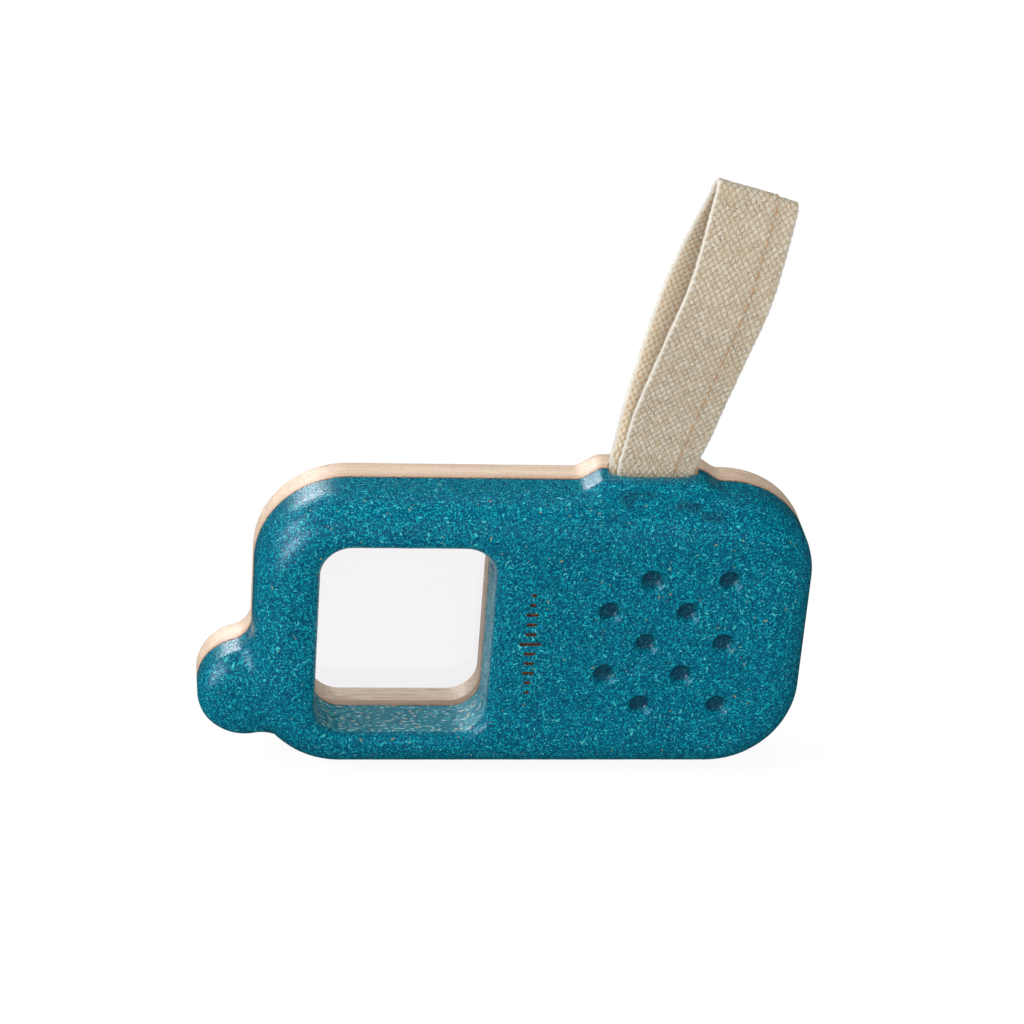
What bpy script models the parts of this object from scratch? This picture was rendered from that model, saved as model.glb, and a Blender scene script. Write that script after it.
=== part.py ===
"""Toy walkie talkie for pretend play.

A pressed-composite front half and a wooden back half are glued face to face.
A clear pane sits in a rebate of the wooden half and closes a rounded window
that runs through both halves. A folded canvas tape is caught in a pocket at
the joint, wraps a hidden dowel, leaves through a slot in the top edge and
stands up as a wrist loop that swings at the slot.

The toy stands on its long edge: +X runs along the body (stub antenna at -X),
+Z is up (wrist loop on top), the composite front looks towards -Y and the
wooden back towards +Y. The shapes are drawn in a body frame in millimetres:
x from the left end of the body, z from its bottom edge, y from the joint
plane. One empty carries that frame; the origin of the world is the middle of
the flat bottom edge of the front half.
"""
import math

import bmesh
import bpy
from mathutils import Vector

MM = 0.001

# ---------------------------------------------------------------- dimensions
BODY_L = 100.0            # body length without the antenna
BODY_H = 55.0             # body height without the strap boss
CORNER_R = 16.4           # outline corner radius
FRONT_T = 11.0            # composite half, joint plane to front face
BACK_T = 7.4              # wooden half, joint plane to back face
JOINT_GAP = 0.25          # each half stops this far from the joint plane
FILM_T = 0.24             # glue line between the halves
FRONT_FILLET = 6.8        # soft edge round the front pad
BACK_FILLET = 2.6         # soft edge round the wooden back
SIDE_START = 4.2          # straight side of the front half, from the joint

LOBE_X, LOBE_Z, LOBE_R = -0.8, 13.4, 8.7      # stub antenna
LOBE_T = 7.4                                   # its thickness in the front half
LOBE_FILLET = 4.8
NECK_TOP_R = 4.6                               # hollow blend above the antenna
NECK_LOW_R = 6.0                               # hollow blend below the antenna

BOSS_X0, BOSS_X1 = 56.4, 83.0                  # feet of the strap boss
BOSS_H = 2.3                                   # boss height above the top edge
BOSS_RUN = 5.0                                 # length of each sloping flank
BOSS_T = 7.0                                   # boss thickness in the front half

WIN_X0, WIN_X1 = 11.2, 42.1                    # window opening
WIN_Z0, WIN_Z1 = 7.9, 46.0
WIN_R = 5.6
WIN_RIM = 2.0                                  # rounded rim on the front
PANE_LAP = 2.6                                 # pane beyond the opening
PANE_T = 2.0

DIMPLE_X, DIMPLE_Z = 62.9, 40.4                # first dimple of the ear grid
DIMPLE_DX, DIMPLE_DZ, DIMPLE_SHIFT = 14.04, 6.46, 7.08
DIMPLE_ROWS, DIMPLE_COLS = 5, 2
DIMPLE_R, DIMPLE_DEPTH = 1.75, 1.0

MARK_X, MARK_Z = 49.0, 27.5                    # generic row of sound bars
MARK_BARS, MARK_PITCH, MARK_W, MARK_DEPTH = 11, 2.0, 0.55, 0.4

TAPE_W, TAPE_T = 15.0, 1.3                     # folded canvas tape
TAPE_X = 70.2                                  # tape centre in the slot
LEG_Y = 0.85                                   # tape centre to joint plane
SLOT_X0, SLOT_X1 = 61.0, 79.4                  # slot in the top edge
SLOT_Y = 2.0                                   # half depth of the slot
CHAMBER_Y = 3.5                                # half depth of the dowel pocket
CHAMBER_Z0, CHAMBER_Z1 = 40.6, 49.0
DOWEL_R, DOWEL_Z = 1.5, 44.4

HINGE_Z = 58.6                                 # the loop bends here
LOOP_TOP_Z = 109.0                             # centre of the top fold
FOLD_R = 1.6                                   # centre line radius of the fold
LOOP_LEAN = 0.27                               # sideways lean, mm per mm
LOOP_X = 69.7                                  # loop centre where the lean starts
LOOP_FRONT, LOOP_BACK = 3.6, 5.5               # how far the two legs bow
SHIFT_FRONT, SHIFT_BACK = 1.35, -0.24          # sideways offset of each foot
HEM_OFFSET = 3.3                               # hem seam from the tape centre
THREAD_R = 0.17

ORIGIN_X, ORIGIN_Y = BODY_L / 2, -2.2          # world origin in the body frame


# ------------------------------------------------------------------- helpers
def clear_scene():
    for ob in list(bpy.data.objects):
        bpy.data.objects.remove(ob, do_unlink=True)


def material(name, colour, rough, metal=0.0, transmission=0.0, alpha=1.0):
    mat = bpy.data.materials.new(name)
    mat.use_nodes = True
    shader = mat.node_tree.nodes["Principled BSDF"]
    shader.inputs["Base Color"].default_value = (*colour, 1.0)
    shader.inputs["Roughness"].default_value = rough
    shader.inputs["Metallic"].default_value = metal
    shader.inputs["Transmission Weight"].default_value = transmission
    shader.inputs["Alpha"].default_value = alpha
    return mat


def face_outwards(bm):
    """Point the faces of every connected shell away from its inside."""
    bmesh.ops.recalc_face_normals(bm, faces=bm.faces)
    left = set(bm.faces)
    while left:
        shell, todo = [], [left.pop()]
        while todo:
            face = todo.pop()
            shell.append(face)
            for edge in face.edges:
                for other in edge.link_faces:
                    if other in left:
                        left.remove(other)
                        todo.append(other)
        volume = sum(f.calc_center_median().dot(f.normal) * f.calc_area() for f in shell)
        if volume < 0:
            bmesh.ops.reverse_faces(bm, faces=shell)


def link(name, bm, mat, parent, origin=(0.0, 0.0, 0.0), smooth=True):
    """Turn a bmesh drawn in body millimetres into an object under a parent."""
    off = Vector(origin)
    face_outwards(bm)
    for v in bm.verts:
        v.co = (v.co - off) * MM
    mesh = bpy.data.meshes.new(name)
    bm.to_mesh(mesh)
    bm.free()
    ob = bpy.data.objects.new(name, mesh)
    bpy.context.collection.objects.link(ob)
    if mat is not None:
        mesh.materials.append(mat)
    ob.parent = parent
    ob.location = off * MM
    if smooth:
        mesh.shade_smooth()
        mesh.set_sharp_from_angle(angle=math.radians(35))
    return ob


def helper(ob):
    """A guide or cutter: never a piece of the toy."""
    ob.hide_render = True
    ob.display_type = "WIRE"
    return ob


def boolean(ob, operand, operation):
    mod = ob.modifiers.new(operation.lower(), "BOOLEAN")
    mod.operation = operation
    mod.solver = "EXACT"
    mod.object = operand
    return mod


def arc(cx, cz, r, a0, a1, n, ends=True):
    """Points on a circle from a0 to a1 degrees."""
    pts = []
    for i in range(n + 1):
        if not ends and i in (0, n):
            continue
        a = math.radians(a0 + (a1 - a0) * i / n)
        pts.append((cx + r * math.cos(a), cz + r * math.sin(a)))
    return pts


def outside_circle(c0, r0, c1, r1, rf, side):
    """Centre of a circle of radius rf that touches two circles from outside."""
    a, b = r0 + rf, r1 + rf
    dx, dz = c1[0] - c0[0], c1[1] - c0[1]
    d = math.hypot(dx, dz)
    t = (a * a - b * b + d * d) / (2 * d)
    h = math.sqrt(a * a - t * t)
    ux, uz = dx / d, dz / d
    return (c0[0] + t * ux - side * h * uz, c0[1] + t * uz + side * h * ux)


def angle_to(c, p):
    return math.degrees(math.atan2(p[1] - c[1], p[0] - c[0])) % 360


def boss_flank(x0, x1, n, rising):
    """Sloping flank of the strap boss as a smooth half wave."""
    pts = []
    for i in range(n + 1):
        t = i / n
        lift = 0.5 - 0.5 * math.cos(math.pi * t)
        if not rising:
            lift = 1 - lift
        pts.append((x0 + (x1 - x0) * t, BODY_H + BOSS_H * lift))
    return pts


def rounded_rect(x0, x1, z0, z1, r, n=9):
    return (arc(x1 - r, z0 + r, r, -90, 0, n) + arc(x1 - r, z1 - r, r, 0, 90, n)
            + arc(x0 + r, z1 - r, r, 90, 180, n) + arc(x0 + r, z0 + r, r, 180, 270, n))


def body_outline(inset=0.0):
    """Whole outline, counter-clockwise: body, strap boss and stub antenna."""
    k = inset
    r = CORNER_R
    low = (r, r)
    lobe = (LOBE_X, LOBE_Z)
    pts = arc(BODY_L - r, r, r - k, -90, 0, 10)
    pts += arc(BODY_L - r, BODY_H - r, r - k, 0, 90, 10)
    flank = boss_flank(BOSS_X1, BOSS_X1 - BOSS_RUN, 6, True)
    flank += boss_flank(BOSS_X0 + BOSS_RUN, BOSS_X0, 6, False)
    pts += [(x, z - k) for x, z in flank]
    pts += arc(r, BODY_H - r, r - k, 90, 180, 10)
    # hollow blend from the left side into the antenna
    zc = LOBE_Z + math.sqrt((LOBE_R + NECK_TOP_R) ** 2 - (NECK_TOP_R + LOBE_X) ** 2)
    neck = (-NECK_TOP_R, zc)
    a_lobe = angle_to(neck, lobe) - 360
    pts += arc(neck[0], neck[1], NECK_TOP_R + k, 0, a_lobe, 6)
    # round end of the antenna
    under = outside_circle(lobe, LOBE_R, low, r, NECK_LOW_R, -1)
    a0 = angle_to(lobe, neck)
    a1 = angle_to(lobe, under)
    pts += arc(lobe[0], lobe[1], LOBE_R - k, a0, a1, 16, ends=False)
    # hollow blend back into the lower corner
    b0 = angle_to(under, lobe)
    b1 = angle_to(under, low)
    pts += arc(under[0], under[1], NECK_LOW_R + k, b0, b1, 5)
    pts += arc(low[0], low[1], r - k, angle_to(low, under), 270, 7)[1:]
    return pts


def prism(pts, y0, y1):
    """Extrude an outline in XZ from y0 to y1."""
    bm = bmesh.new()
    face = bm.faces.new([bm.verts.new((x, y0, z)) for x, z in pts])
    ext = bmesh.ops.extrude_face_region(bm, geom=[face])
    moved = [g for g in ext["geom"] if isinstance(g, bmesh.types.BMVert)]
    bmesh.ops.translate(bm, verts=moved, vec=(0.0, y1 - y0, 0.0))
    bmesh.ops.recalc_face_normals(bm, faces=bm.faces)
    return bm


def soften(bm, y, width, segments):
    """Round over the edge loop of a prism that lies at depth y."""
    edges = [e for e in bm.edges if all(abs(v.co.y - y) < 1e-5 for v in e.verts)]
    bmesh.ops.bevel(bm, geom=edges, offset=width, offset_type="OFFSET",
                    segments=segments, profile=0.5, affect="EDGES",
                    clamp_overlap=False)
    bmesh.ops.remove_doubles(bm, verts=bm.verts, dist=1e-4)


def lofted(rings):
    """Closed skin through rings of equal size, with a cap at each end."""
    bm = bmesh.new()
    rows = [[bm.verts.new(p) for p in ring] for ring in rings]
    n = len(rows[0])
    for a, b in zip(rows, rows[1:]):
        for i in range(n):
            bm.faces.new((a[i], a[(i + 1) % n], b[(i + 1) % n], b[i]))
    bm.faces.new(rows[0])
    bm.faces.new(list(reversed(rows[-1])))
    bmesh.ops.recalc_face_normals(bm, faces=bm.faces)
    return bm


def window_rings():
    """Window cutter for the front half: straight bore, rim flaring outwards."""
    rings = []
    for y, grow in [(1.0, 0.0), (-FRONT_T + WIN_RIM, 0.0)]:
        rings.append((y, grow))
    for i in range(1, 6):
        a = math.radians(90 * i / 5)
        rings.append((-FRONT_T + WIN_RIM * (1 - math.sin(a)), WIN_RIM * (1 - math.cos(a))))
    rings.append((-FRONT_T - 1.0, WIN_RIM + 0.6))
    out = []
    for y, g in rings:
        pts = rounded_rect(WIN_X0 - g, WIN_X1 + g, WIN_Z0 - g, WIN_Z1 + g, WIN_R + g, 7)
        out.append([(x, y, z) for x, z in pts])
    return out


def dimple_centres():
    for row in range(DIMPLE_ROWS):
        for col in range(DIMPLE_COLS):
            shift = DIMPLE_SHIFT if row % 2 == 0 else 0.0
            yield (DIMPLE_X + shift + DIMPLE_DX * col, DIMPLE_Z - DIMPLE_DZ * row)


def mark_bars():
    """Sound bars: lengths swell and fade along the row."""
    for i in range(MARK_BARS):
        t = i - (MARK_BARS - 1) / 2
        swell = 0.5 + 0.5 * math.cos(math.pi * t / (MARK_BARS / 2))
        half = 0.5 + 1.5 * swell * (0.62 + 0.38 * math.cos(2.1 * t))
        yield (MARK_Z + t * MARK_PITCH, half)


def box(x0, x1, y0, y1, z0, z1, bm=None):
    bm = bm or bmesh.new()
    made = bmesh.ops.create_cube(bm, size=1.0)["verts"]
    for v in made:
        v.co = Vector((x0 + (v.co.x + 0.5) * (x1 - x0), y0 + (v.co.y + 0.5) * (y1 - y0),
                       z0 + (v.co.z + 0.5) * (z1 - z0)))
    return bm


# ------------------------------------------------------------ tape geometry
def tape_section(centre, across, normal, half_w=TAPE_W / 2, half_t=TAPE_T / 2):
    """One cross-section of the tape, with eased long edges."""
    e = min(0.3, half_t * 0.5)
    shape = [(-half_w, -half_t + e), (-half_w + e, -half_t), (half_w - e, -half_t),
             (half_w, -half_t + e), (half_w, half_t - e), (half_w - e, half_t),
             (-half_w + e, half_t), (-half_w, half_t - e)]
    return [centre + across * a + normal * b for a, b in shape]


def loop_centre(side, t):
    """Point on the loop's front (side -1) or back (side +1) leg, t from 0 to 1."""
    z = HINGE_Z + 0.2 + t * (LOOP_TOP_Z - HINGE_Z - 0.2)
    dz = z - 60.0
    u = max(0.0, min(1.0, dz / 49.0))
    x = LOOP_X + LOOP_LEAN * dz - 0.26 * math.sin(2 * math.pi * u)
    x += (SHIFT_FRONT if side < 0 else SHIFT_BACK) * (1 - u)
    bow = math.sin(math.pi * t ** 1.49) ** 1.28 if 0 < t < 1 else 0.0
    base = LEG_Y + (FOLD_R - LEG_Y) * t
    y = side * (base + (LOOP_FRONT if side < 0 else LOOP_BACK) * bow)
    return Vector((x, y, z))


def loop_path(n=26, fold=8):
    """Centres of the tape from the front foot over the fold to the back foot."""
    pts = [loop_centre(-1, i / n) for i in range(n)]
    lean = math.atan(LOOP_LEAN)
    up = Vector((math.sin(lean), 0.0, math.cos(lean)))
    top = 0.5 * (loop_centre(-1, 1.0) + loop_centre(1, 1.0))
    for i in range(fold + 1):
        a = math.pi * i / fold
        pts.append(top + Vector((0.0, -FOLD_R * math.cos(a), 0.0)) + up * FOLD_R * math.sin(a))
    pts += [loop_centre(1, i / n) for i in range(n - 1, -1, -1)]
    return pts


def path_frames(pts, leaning=True):
    """Centre, width direction and outward normal at each point of a tape."""
    frames = []
    for i, p in enumerate(pts):
        a, b = pts[max(0, i - 1)], pts[min(len(pts) - 1, i + 1)]
        tangent = (b - a).normalized()
        if leaning:
            lean = math.atan(LOOP_LEAN)
            if abs(tangent.z) > 0.5:
                lean = math.atan2(tangent.x, tangent.z) if tangent.z > 0 else math.atan2(-tangent.x, -tangent.z)
            across = Vector((math.cos(lean), 0.0, -math.sin(lean)))
        else:
            across = Vector((1.0, 0.0, 0.0))
        across = (across - tangent * across.dot(tangent)).normalized()
        normal = tangent.cross(across).normalized()
        frames.append((p, across, normal))
    return frames


def tail_path():
    """Tape inside the body: slot, pocket, round the dowel and back up."""
    wrap = DOWEL_R + 0.15 + TAPE_T / 2
    pts = []
    top, neck0, neck1 = 56.0, 50.4, 46.4
    for i in range(4):
        pts.append(Vector((TAPE_X, LEG_Y, top + (neck0 - top) * i / 3)))
    for i in range(1, 6):
        t = i / 5
        s = 0.5 - 0.5 * math.cos(math.pi * t)
        pts.append(Vector((TAPE_X, LEG_Y + (wrap - LEG_Y) * s, neck0 + (neck1 - neck0) * t)))
    for i in range(13):
        a = math.pi * i / 12
        pts.append(Vector((TAPE_X, wrap * math.cos(a), DOWEL_Z - wrap * math.sin(a))))
    for i in range(4, -1, -1):
        t = i / 5
        s = 0.5 - 0.5 * math.cos(math.pi * t)
        pts.append(Vector((TAPE_X, -LEG_Y - (wrap - LEG_Y) * s, neck0 + (neck1 - neck0) * t)))
    for i in range(2, -1, -1):
        pts.append(Vector((TAPE_X, -LEG_Y, top + (neck0 - top) * i / 3)))
    return pts


def tube(pts, r, sides=6):
    """Round thread along a path, closed at both ends."""
    rings = []
    for i, p in enumerate(pts):
        a, b = pts[max(0, i - 1)], pts[min(len(pts) - 1, i + 1)]
        tangent = (b - a).normalized()
        ref = Vector((1.0, 0.0, 0.0)) if abs(tangent.x) < 0.8 else Vector((0.0, 0.0, 1.0))
        u = tangent.cross(ref).normalized()
        v = tangent.cross(u).normalized()
        rings.append([p + (u * math.cos(2 * math.pi * k / sides) + v * math.sin(2 * math.pi * k / sides)) * r
                      for k in range(sides)])
    return lofted(rings)


# ------------------------------------------------------------------ assembly
clear_scene()

composite = material("pressed_composite_teal", (0.010, 0.155, 0.215), 0.48)
wood = material("pale_hardwood", (0.62, 0.42, 0.28), 0.55)
glue = material("dark_glue_line", (0.16, 0.05, 0.03), 0.6)
acrylic = material("clear_acrylic", (0.93, 0.95, 0.96), 0.06, transmission=1.0)
canvas = material("natural_canvas", (0.66, 0.56, 0.41), 0.85)
thread = material("tan_thread", (0.55, 0.38, 0.22), 0.7)

frame = bpy.data.objects.new("body_frame", None)
frame.location = (-ORIGIN_X * MM, -ORIGIN_Y * MM, 0.0)
bpy.context.collection.objects.link(frame)

# hinge empty of the wrist loop, on the swing axis at the slot mouth
hinge = bpy.data.objects.new("strap_swing_axis", None)
hinge.parent = frame
hinge.location = (TAPE_X * MM, 0.0, HINGE_Z * MM)
bpy.context.collection.objects.link(hinge)


def place(ob, parent, at=(0.0, 0.0, 0.0)):
    ob.parent = parent
    ob.location = Vector(at) * MM
    return ob


def solid(name, bm, mat, smooth=True, guide=False):
    ob = link(name, bm, mat, frame, smooth=smooth)
    place(ob, frame)
    return helper(ob) if guide else ob


# --- front half: flat slab with the whole outline, soft pad and two low domes
front = solid("front_panel", prism(body_outline(), -SIDE_START + 0.1, -JOINT_GAP), composite)

bm = prism(rounded_rect(0.02, BODY_L - 0.02, 0.02, BODY_H - 0.02, CORNER_R, 11), -FRONT_T, -1.2)
soften(bm, -FRONT_T, FRONT_FILLET, 8)
pad = solid("guide_front_pad", bm, None, guide=True)
boolean(front, pad, "UNION")

bm = prism(arc(LOBE_X, LOBE_Z, LOBE_R - 0.03, 0, 360 * 31 / 32, 31), -LOBE_T, -1.2)
soften(bm, -LOBE_T, LOBE_FILLET, 6)
lobe = solid("guide_front_lobe", bm, None, guide=True)
boolean(front, lobe, "UNION")

boss_pts = [(BOSS_X1 - 0.4, BODY_H - 7.7)]
boss_pts += [(x, z - 0.03) for x, z in boss_flank(BOSS_X1 - 0.4, BOSS_X1 - BOSS_RUN - 0.2, 5, True)]
boss_pts += [(x, z - 0.03) for x, z in boss_flank(BOSS_X0 + BOSS_RUN + 0.2, BOSS_X0 + 0.4, 5, False)]
boss_pts += [(BOSS_X0 + 0.4, BODY_H - 7.7)]
bm = prism(boss_pts, -BOSS_T, -1.2)
soften(bm, -BOSS_T, 1.0, 3)
boss = solid("guide_front_boss", bm, None, guide=True)
boolean(front, boss, "UNION")

window = solid("cut_front_window", lofted(window_rings()), None, guide=True)
boolean(front, window, "DIFFERENCE")

bm = bmesh.new()
ball_r = (DIMPLE_R ** 2 + DIMPLE_DEPTH ** 2) / (2 * DIMPLE_DEPTH)
for cx, cz in dimple_centres():
    made = bmesh.ops.create_uvsphere(bm, u_segments=16, v_segments=12, radius=ball_r)["verts"]
    for v in made:
        v.co = Vector((cx + v.co.x, -FRONT_T - ball_r + DIMPLE_DEPTH + v.co.z, cz + v.co.y))
dimples = solid("cut_dimples", bm, None, guide=True)
boolean(front, dimples, "DIFFERENCE")

bm = bmesh.new()
for z, half in mark_bars():
    box(MARK_X - half, MARK_X + half, -FRONT_T - 0.5, -FRONT_T + MARK_DEPTH,
        z - MARK_W / 2, z + MARK_W / 2, bm)
mark = solid("cut_sound_bars", bm, None, smooth=False, guide=True)
boolean(front, mark, "DIFFERENCE")

# --- strap slot and dowel pocket, milled half into each side of the joint
slot_top = BODY_H + BOSS_H + 2.0
slot = solid("cut_slot", box(SLOT_X0, SLOT_X1, -SLOT_Y, SLOT_Y, CHAMBER_Z1 - 1.0, slot_top),
             None, smooth=False, guide=True)
chamber = solid("cut_dowel_pocket",
                box(SLOT_X0 - 0.4, SLOT_X1 + 0.4, -CHAMBER_Y, CHAMBER_Y, CHAMBER_Z0, CHAMBER_Z1),
                None, smooth=False, guide=True)
boolean(front, slot, "DIFFERENCE")
boolean(front, chamber, "DIFFERENCE")

# --- wooden half: same outline, rounded on its back edge
back = solid("back_plate", prism(body_outline(), JOINT_GAP, BACK_T - BACK_FILLET - 0.1), wood)
bm = prism(rounded_rect(0.02, BODY_L - 0.02, 0.02, BODY_H - 0.02, CORNER_R, 11), 1.2, BACK_T)
soften(bm, BACK_T, BACK_FILLET, 5)
back_pad = solid("guide_back_pad", bm, None, guide=True)
boolean(back, back_pad, "UNION")
bm = prism(arc(LOBE_X, LOBE_Z, LOBE_R - 0.03, 0, 360 * 31 / 32, 31), 1.2, BACK_T - 0.04)
soften(bm, BACK_T - 0.04, BACK_FILLET, 4)
back_lobe = solid("guide_back_lobe", bm, None, guide=True)
boolean(back, back_lobe, "UNION")
bm = prism(boss_pts, 1.2, BACK_T - 0.9)
soften(bm, BACK_T - 0.9, 1.2, 3)
back_boss = solid("guide_back_boss", bm, None, guide=True)
boolean(back, back_boss, "UNION")

bore = solid("cut_back_window",
             prism(rounded_rect(WIN_X0, WIN_X1, WIN_Z0, WIN_Z1, WIN_R, 7), -1.0, BACK_T + 1.0),
             None, guide=True)
boolean(back, bore, "DIFFERENCE")
rebate_depth = PANE_T + 0.35
rebate = solid("cut_pane_rebate",
               prism(rounded_rect(WIN_X0 - PANE_LAP - 0.2, WIN_X1 + PANE_LAP + 0.2,
                                  WIN_Z0 - PANE_LAP - 0.2, WIN_Z1 + PANE_LAP + 0.2,
                                  WIN_R + PANE_LAP, 7), -1.0, JOINT_GAP + rebate_depth),
               None, guide=True)
boolean(back, rebate, "DIFFERENCE")
boolean(back, slot, "DIFFERENCE")
boolean(back, chamber, "DIFFERENCE")

# --- glue line between the halves, open at the window and at the strap pocket
film = solid("bond_film", prism(body_outline(0.35), -FILM_T / 2, FILM_T / 2), glue)
film_window = solid("cut_film_window",
                    prism(rounded_rect(WIN_X0 - 0.3, WIN_X1 + 0.3, WIN_Z0 - 0.3, WIN_Z1 + 0.3,
                                       WIN_R, 7), -1.0, 1.0), None, guide=True)
boolean(film, film_window, "DIFFERENCE")
film_slot = solid("cut_film_slot",
                  box(SLOT_X0 - 0.6, SLOT_X1 + 0.6, -1.0, 1.0, CHAMBER_Z0 - 0.3, slot_top),
                  None, smooth=False, guide=True)
boolean(film, film_slot, "DIFFERENCE")

# --- clear pane, dropped into the rebate from the joint side
bm = prism(rounded_rect(WIN_X0 - PANE_LAP, WIN_X1 + PANE_LAP, WIN_Z0 - PANE_LAP,
                        WIN_Z1 + PANE_LAP, WIN_R + PANE_LAP - 0.2, 7),
           JOINT_GAP + 0.12, JOINT_GAP + 0.12 + PANE_T)
pane = solid("window_pane", bm, acrylic)

# --- hidden dowel that the tape wraps
bm = bmesh.new()
bmesh.ops.create_cone(bm, cap_ends=True, segments=20, radius1=DOWEL_R, radius2=DOWEL_R,
                      depth=SLOT_X1 - SLOT_X0 - 0.4)
for v in bm.verts:
    v.co = Vector((v.co.z + 0.5 * (SLOT_X0 + SLOT_X1), v.co.y, v.co.x + DOWEL_Z))
dowel = solid("strap_anchor_dowel", bm, wood)

# --- tape inside the body, and the zigzag that closes it below the slot
tails = solid("strap_tails",
              lofted([tape_section(*f) for f in path_frames(tail_path(), leaning=False)]), canvas)
zig = []
turns = 14
for i in range(turns * 2 + 1):
    zig.append(Vector((TAPE_X - 5.6 + 11.2 * i / (turns * 2),
                       -LEG_Y - TAPE_T / 2 - 0.06 - THREAD_R,
                       52.2 + (1.0 if i % 2 else -1.0))))
closure = solid("closure_thread", tube(zig, THREAD_R), thread)

# --- wrist loop and its hem seam, carried by the hinge empty
pivot = (TAPE_X, 0.0, HINGE_Z)
frames = path_frames(loop_path())
loop = link("strap_loop", lofted([tape_section(*f) for f in frames]), canvas, hinge, origin=pivot)
place(loop, hinge)
seam = []
fine = path_frames(loop_path(60, 14))
for i, (p, across, normal) in enumerate(fine[5:-5]):
    lift = TAPE_T / 2 + 0.07 + THREAD_R
    wave = 0.05 * (1 + math.cos(math.pi * i))
    seam.append(p + across * HEM_OFFSET - normal * (lift + wave))
hem = link("hem_thread", tube(seam, THREAD_R), thread, hinge, origin=pivot)
place(hem, hinge)
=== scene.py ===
"""Looks of the toy walkie talkie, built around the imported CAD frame.

Lengths are worked out in millimetres in a body frame: x from the left end of the
body, z from its bottom edge, y from the joint plane between the two halves
(negative towards the composite front). Its place in the world comes from the CAD
node boxes.
"""
import math

import bmesh
import bpy
import numpy as np
from mathutils import Matrix, Vector
from mathutils.geometry import delaunay_2d_cdt

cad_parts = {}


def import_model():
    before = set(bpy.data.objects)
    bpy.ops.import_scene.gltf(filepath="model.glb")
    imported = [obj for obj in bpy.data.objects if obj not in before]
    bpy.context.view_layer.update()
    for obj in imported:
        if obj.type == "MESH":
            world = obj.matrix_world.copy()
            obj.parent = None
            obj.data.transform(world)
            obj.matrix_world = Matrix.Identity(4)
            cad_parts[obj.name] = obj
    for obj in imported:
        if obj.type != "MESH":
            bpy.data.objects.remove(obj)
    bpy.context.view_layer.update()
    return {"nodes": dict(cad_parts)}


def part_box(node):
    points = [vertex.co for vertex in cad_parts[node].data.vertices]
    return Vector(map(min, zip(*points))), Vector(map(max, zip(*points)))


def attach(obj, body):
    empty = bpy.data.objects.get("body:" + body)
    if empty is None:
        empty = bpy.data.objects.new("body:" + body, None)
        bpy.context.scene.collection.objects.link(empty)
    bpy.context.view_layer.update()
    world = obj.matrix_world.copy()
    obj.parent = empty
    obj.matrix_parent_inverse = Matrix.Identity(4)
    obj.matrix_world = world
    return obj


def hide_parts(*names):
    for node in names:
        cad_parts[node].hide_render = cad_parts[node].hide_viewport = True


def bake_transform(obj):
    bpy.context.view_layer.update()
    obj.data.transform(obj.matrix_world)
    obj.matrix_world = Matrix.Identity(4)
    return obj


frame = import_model()

# ------------------------------------------------------------ body frame
_lo, _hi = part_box("front_panel")
BODY_L, BODY_H, CORNER_R = 100.0, 55.0, 16.4
FRONT_T, BACK_T = 11.0, 7.4
X0 = _hi.x * 1000.0 - BODY_L
Y0 = _lo.y * 1000.0 + FRONT_T
Z0 = _lo.z * 1000.0
OFFSET = np.array([X0, Y0, Z0])

LOBE_X, LOBE_Z, LOBE_R = -0.8, 13.4, 8.7
NECK_TOP_R, NECK_LOW_R = 4.6, 6.0
BOSS_X0, BOSS_X1, BOSS_H, BOSS_RUN = 56.4, 83.0, 2.3, 5.0
WIN = (11.2, 42.1, 7.9, 46.0, 5.6)
DIMPLE_X, DIMPLE_Z = 62.9, 40.4
DIMPLE_DX, DIMPLE_DZ, DIMPLE_SHIFT = 14.04, 6.46, 7.08
MARK_X, MARK_Z, MARK_BARS, MARK_PITCH = 49.0, 27.5, 11, 2.0
SLOT_X0, SLOT_X1, SLOT_Y = 62.1, 78.2, 2.0
CHAMBER = (60.6, 79.8, -3.5, 3.5, 40.6, 49.0)
DOWEL_R, DOWEL_Z = 1.5, 44.4
TAPE_X, LEG_Y = 70.2, 0.85
HINGE_Z, LOOP_TOP_Z, FOLD_R = 58.6, 109.0, 1.6
LOOP_X, LOOP_LEAN, LOOP_FRONT, LOOP_BACK = 69.7, 0.27, 3.6, 5.5
SHIFT_FRONT, SHIFT_BACK = 1.35, -0.24


def world(points):
    """Body millimetres to world metres."""
    return (np.asarray(points, float) + OFFSET) * 0.001


def wv(x, y, z):
    return Vector(world([x, y, z]))


# ------------------------------------------------------------ small maths
def noise3(p, seed=0):
    """Smooth value noise in -1..1 on a unit lattice, vectorised."""
    p = np.asarray(p, float)
    i = np.floor(p).astype(np.int64)
    f = p - i
    f = f * f * (3 - 2 * f)
    out = np.zeros(len(p))
    for dx in (0, 1):
        for dy in (0, 1):
            for dz in (0, 1):
                h = ((i[:, 0] + dx) * 374761393 + (i[:, 1] + dy) * 668265263
                     + (i[:, 2] + dz) * 2147483647 + seed * 1442695041) & 0xFFFFFFFF
                h = ((h ^ (h >> 13)) * 1274126177) & 0xFFFFFFFF
                h = (h ^ (h >> 16)) & 0xFFFF
                w = ((f[:, 0] if dx else 1 - f[:, 0]) * (f[:, 1] if dy else 1 - f[:, 1])
                     * (f[:, 2] if dz else 1 - f[:, 2]))
                out += w * (h / 32767.5 - 1.0)
    return out


def smoothstep(a, b, x):
    t = np.clip((x - a) / (b - a), 0, 1)
    return t * t * (3 - 2 * t)


def arc(cx, cz, r, a0, a1, n, ends=True):
    pts = []
    for i in range(n + 1):
        if not ends and i in (0, n):
            continue
        a = math.radians(a0 + (a1 - a0) * i / n)
        pts.append((cx + r * math.cos(a), cz + r * math.sin(a)))
    return pts


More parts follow.
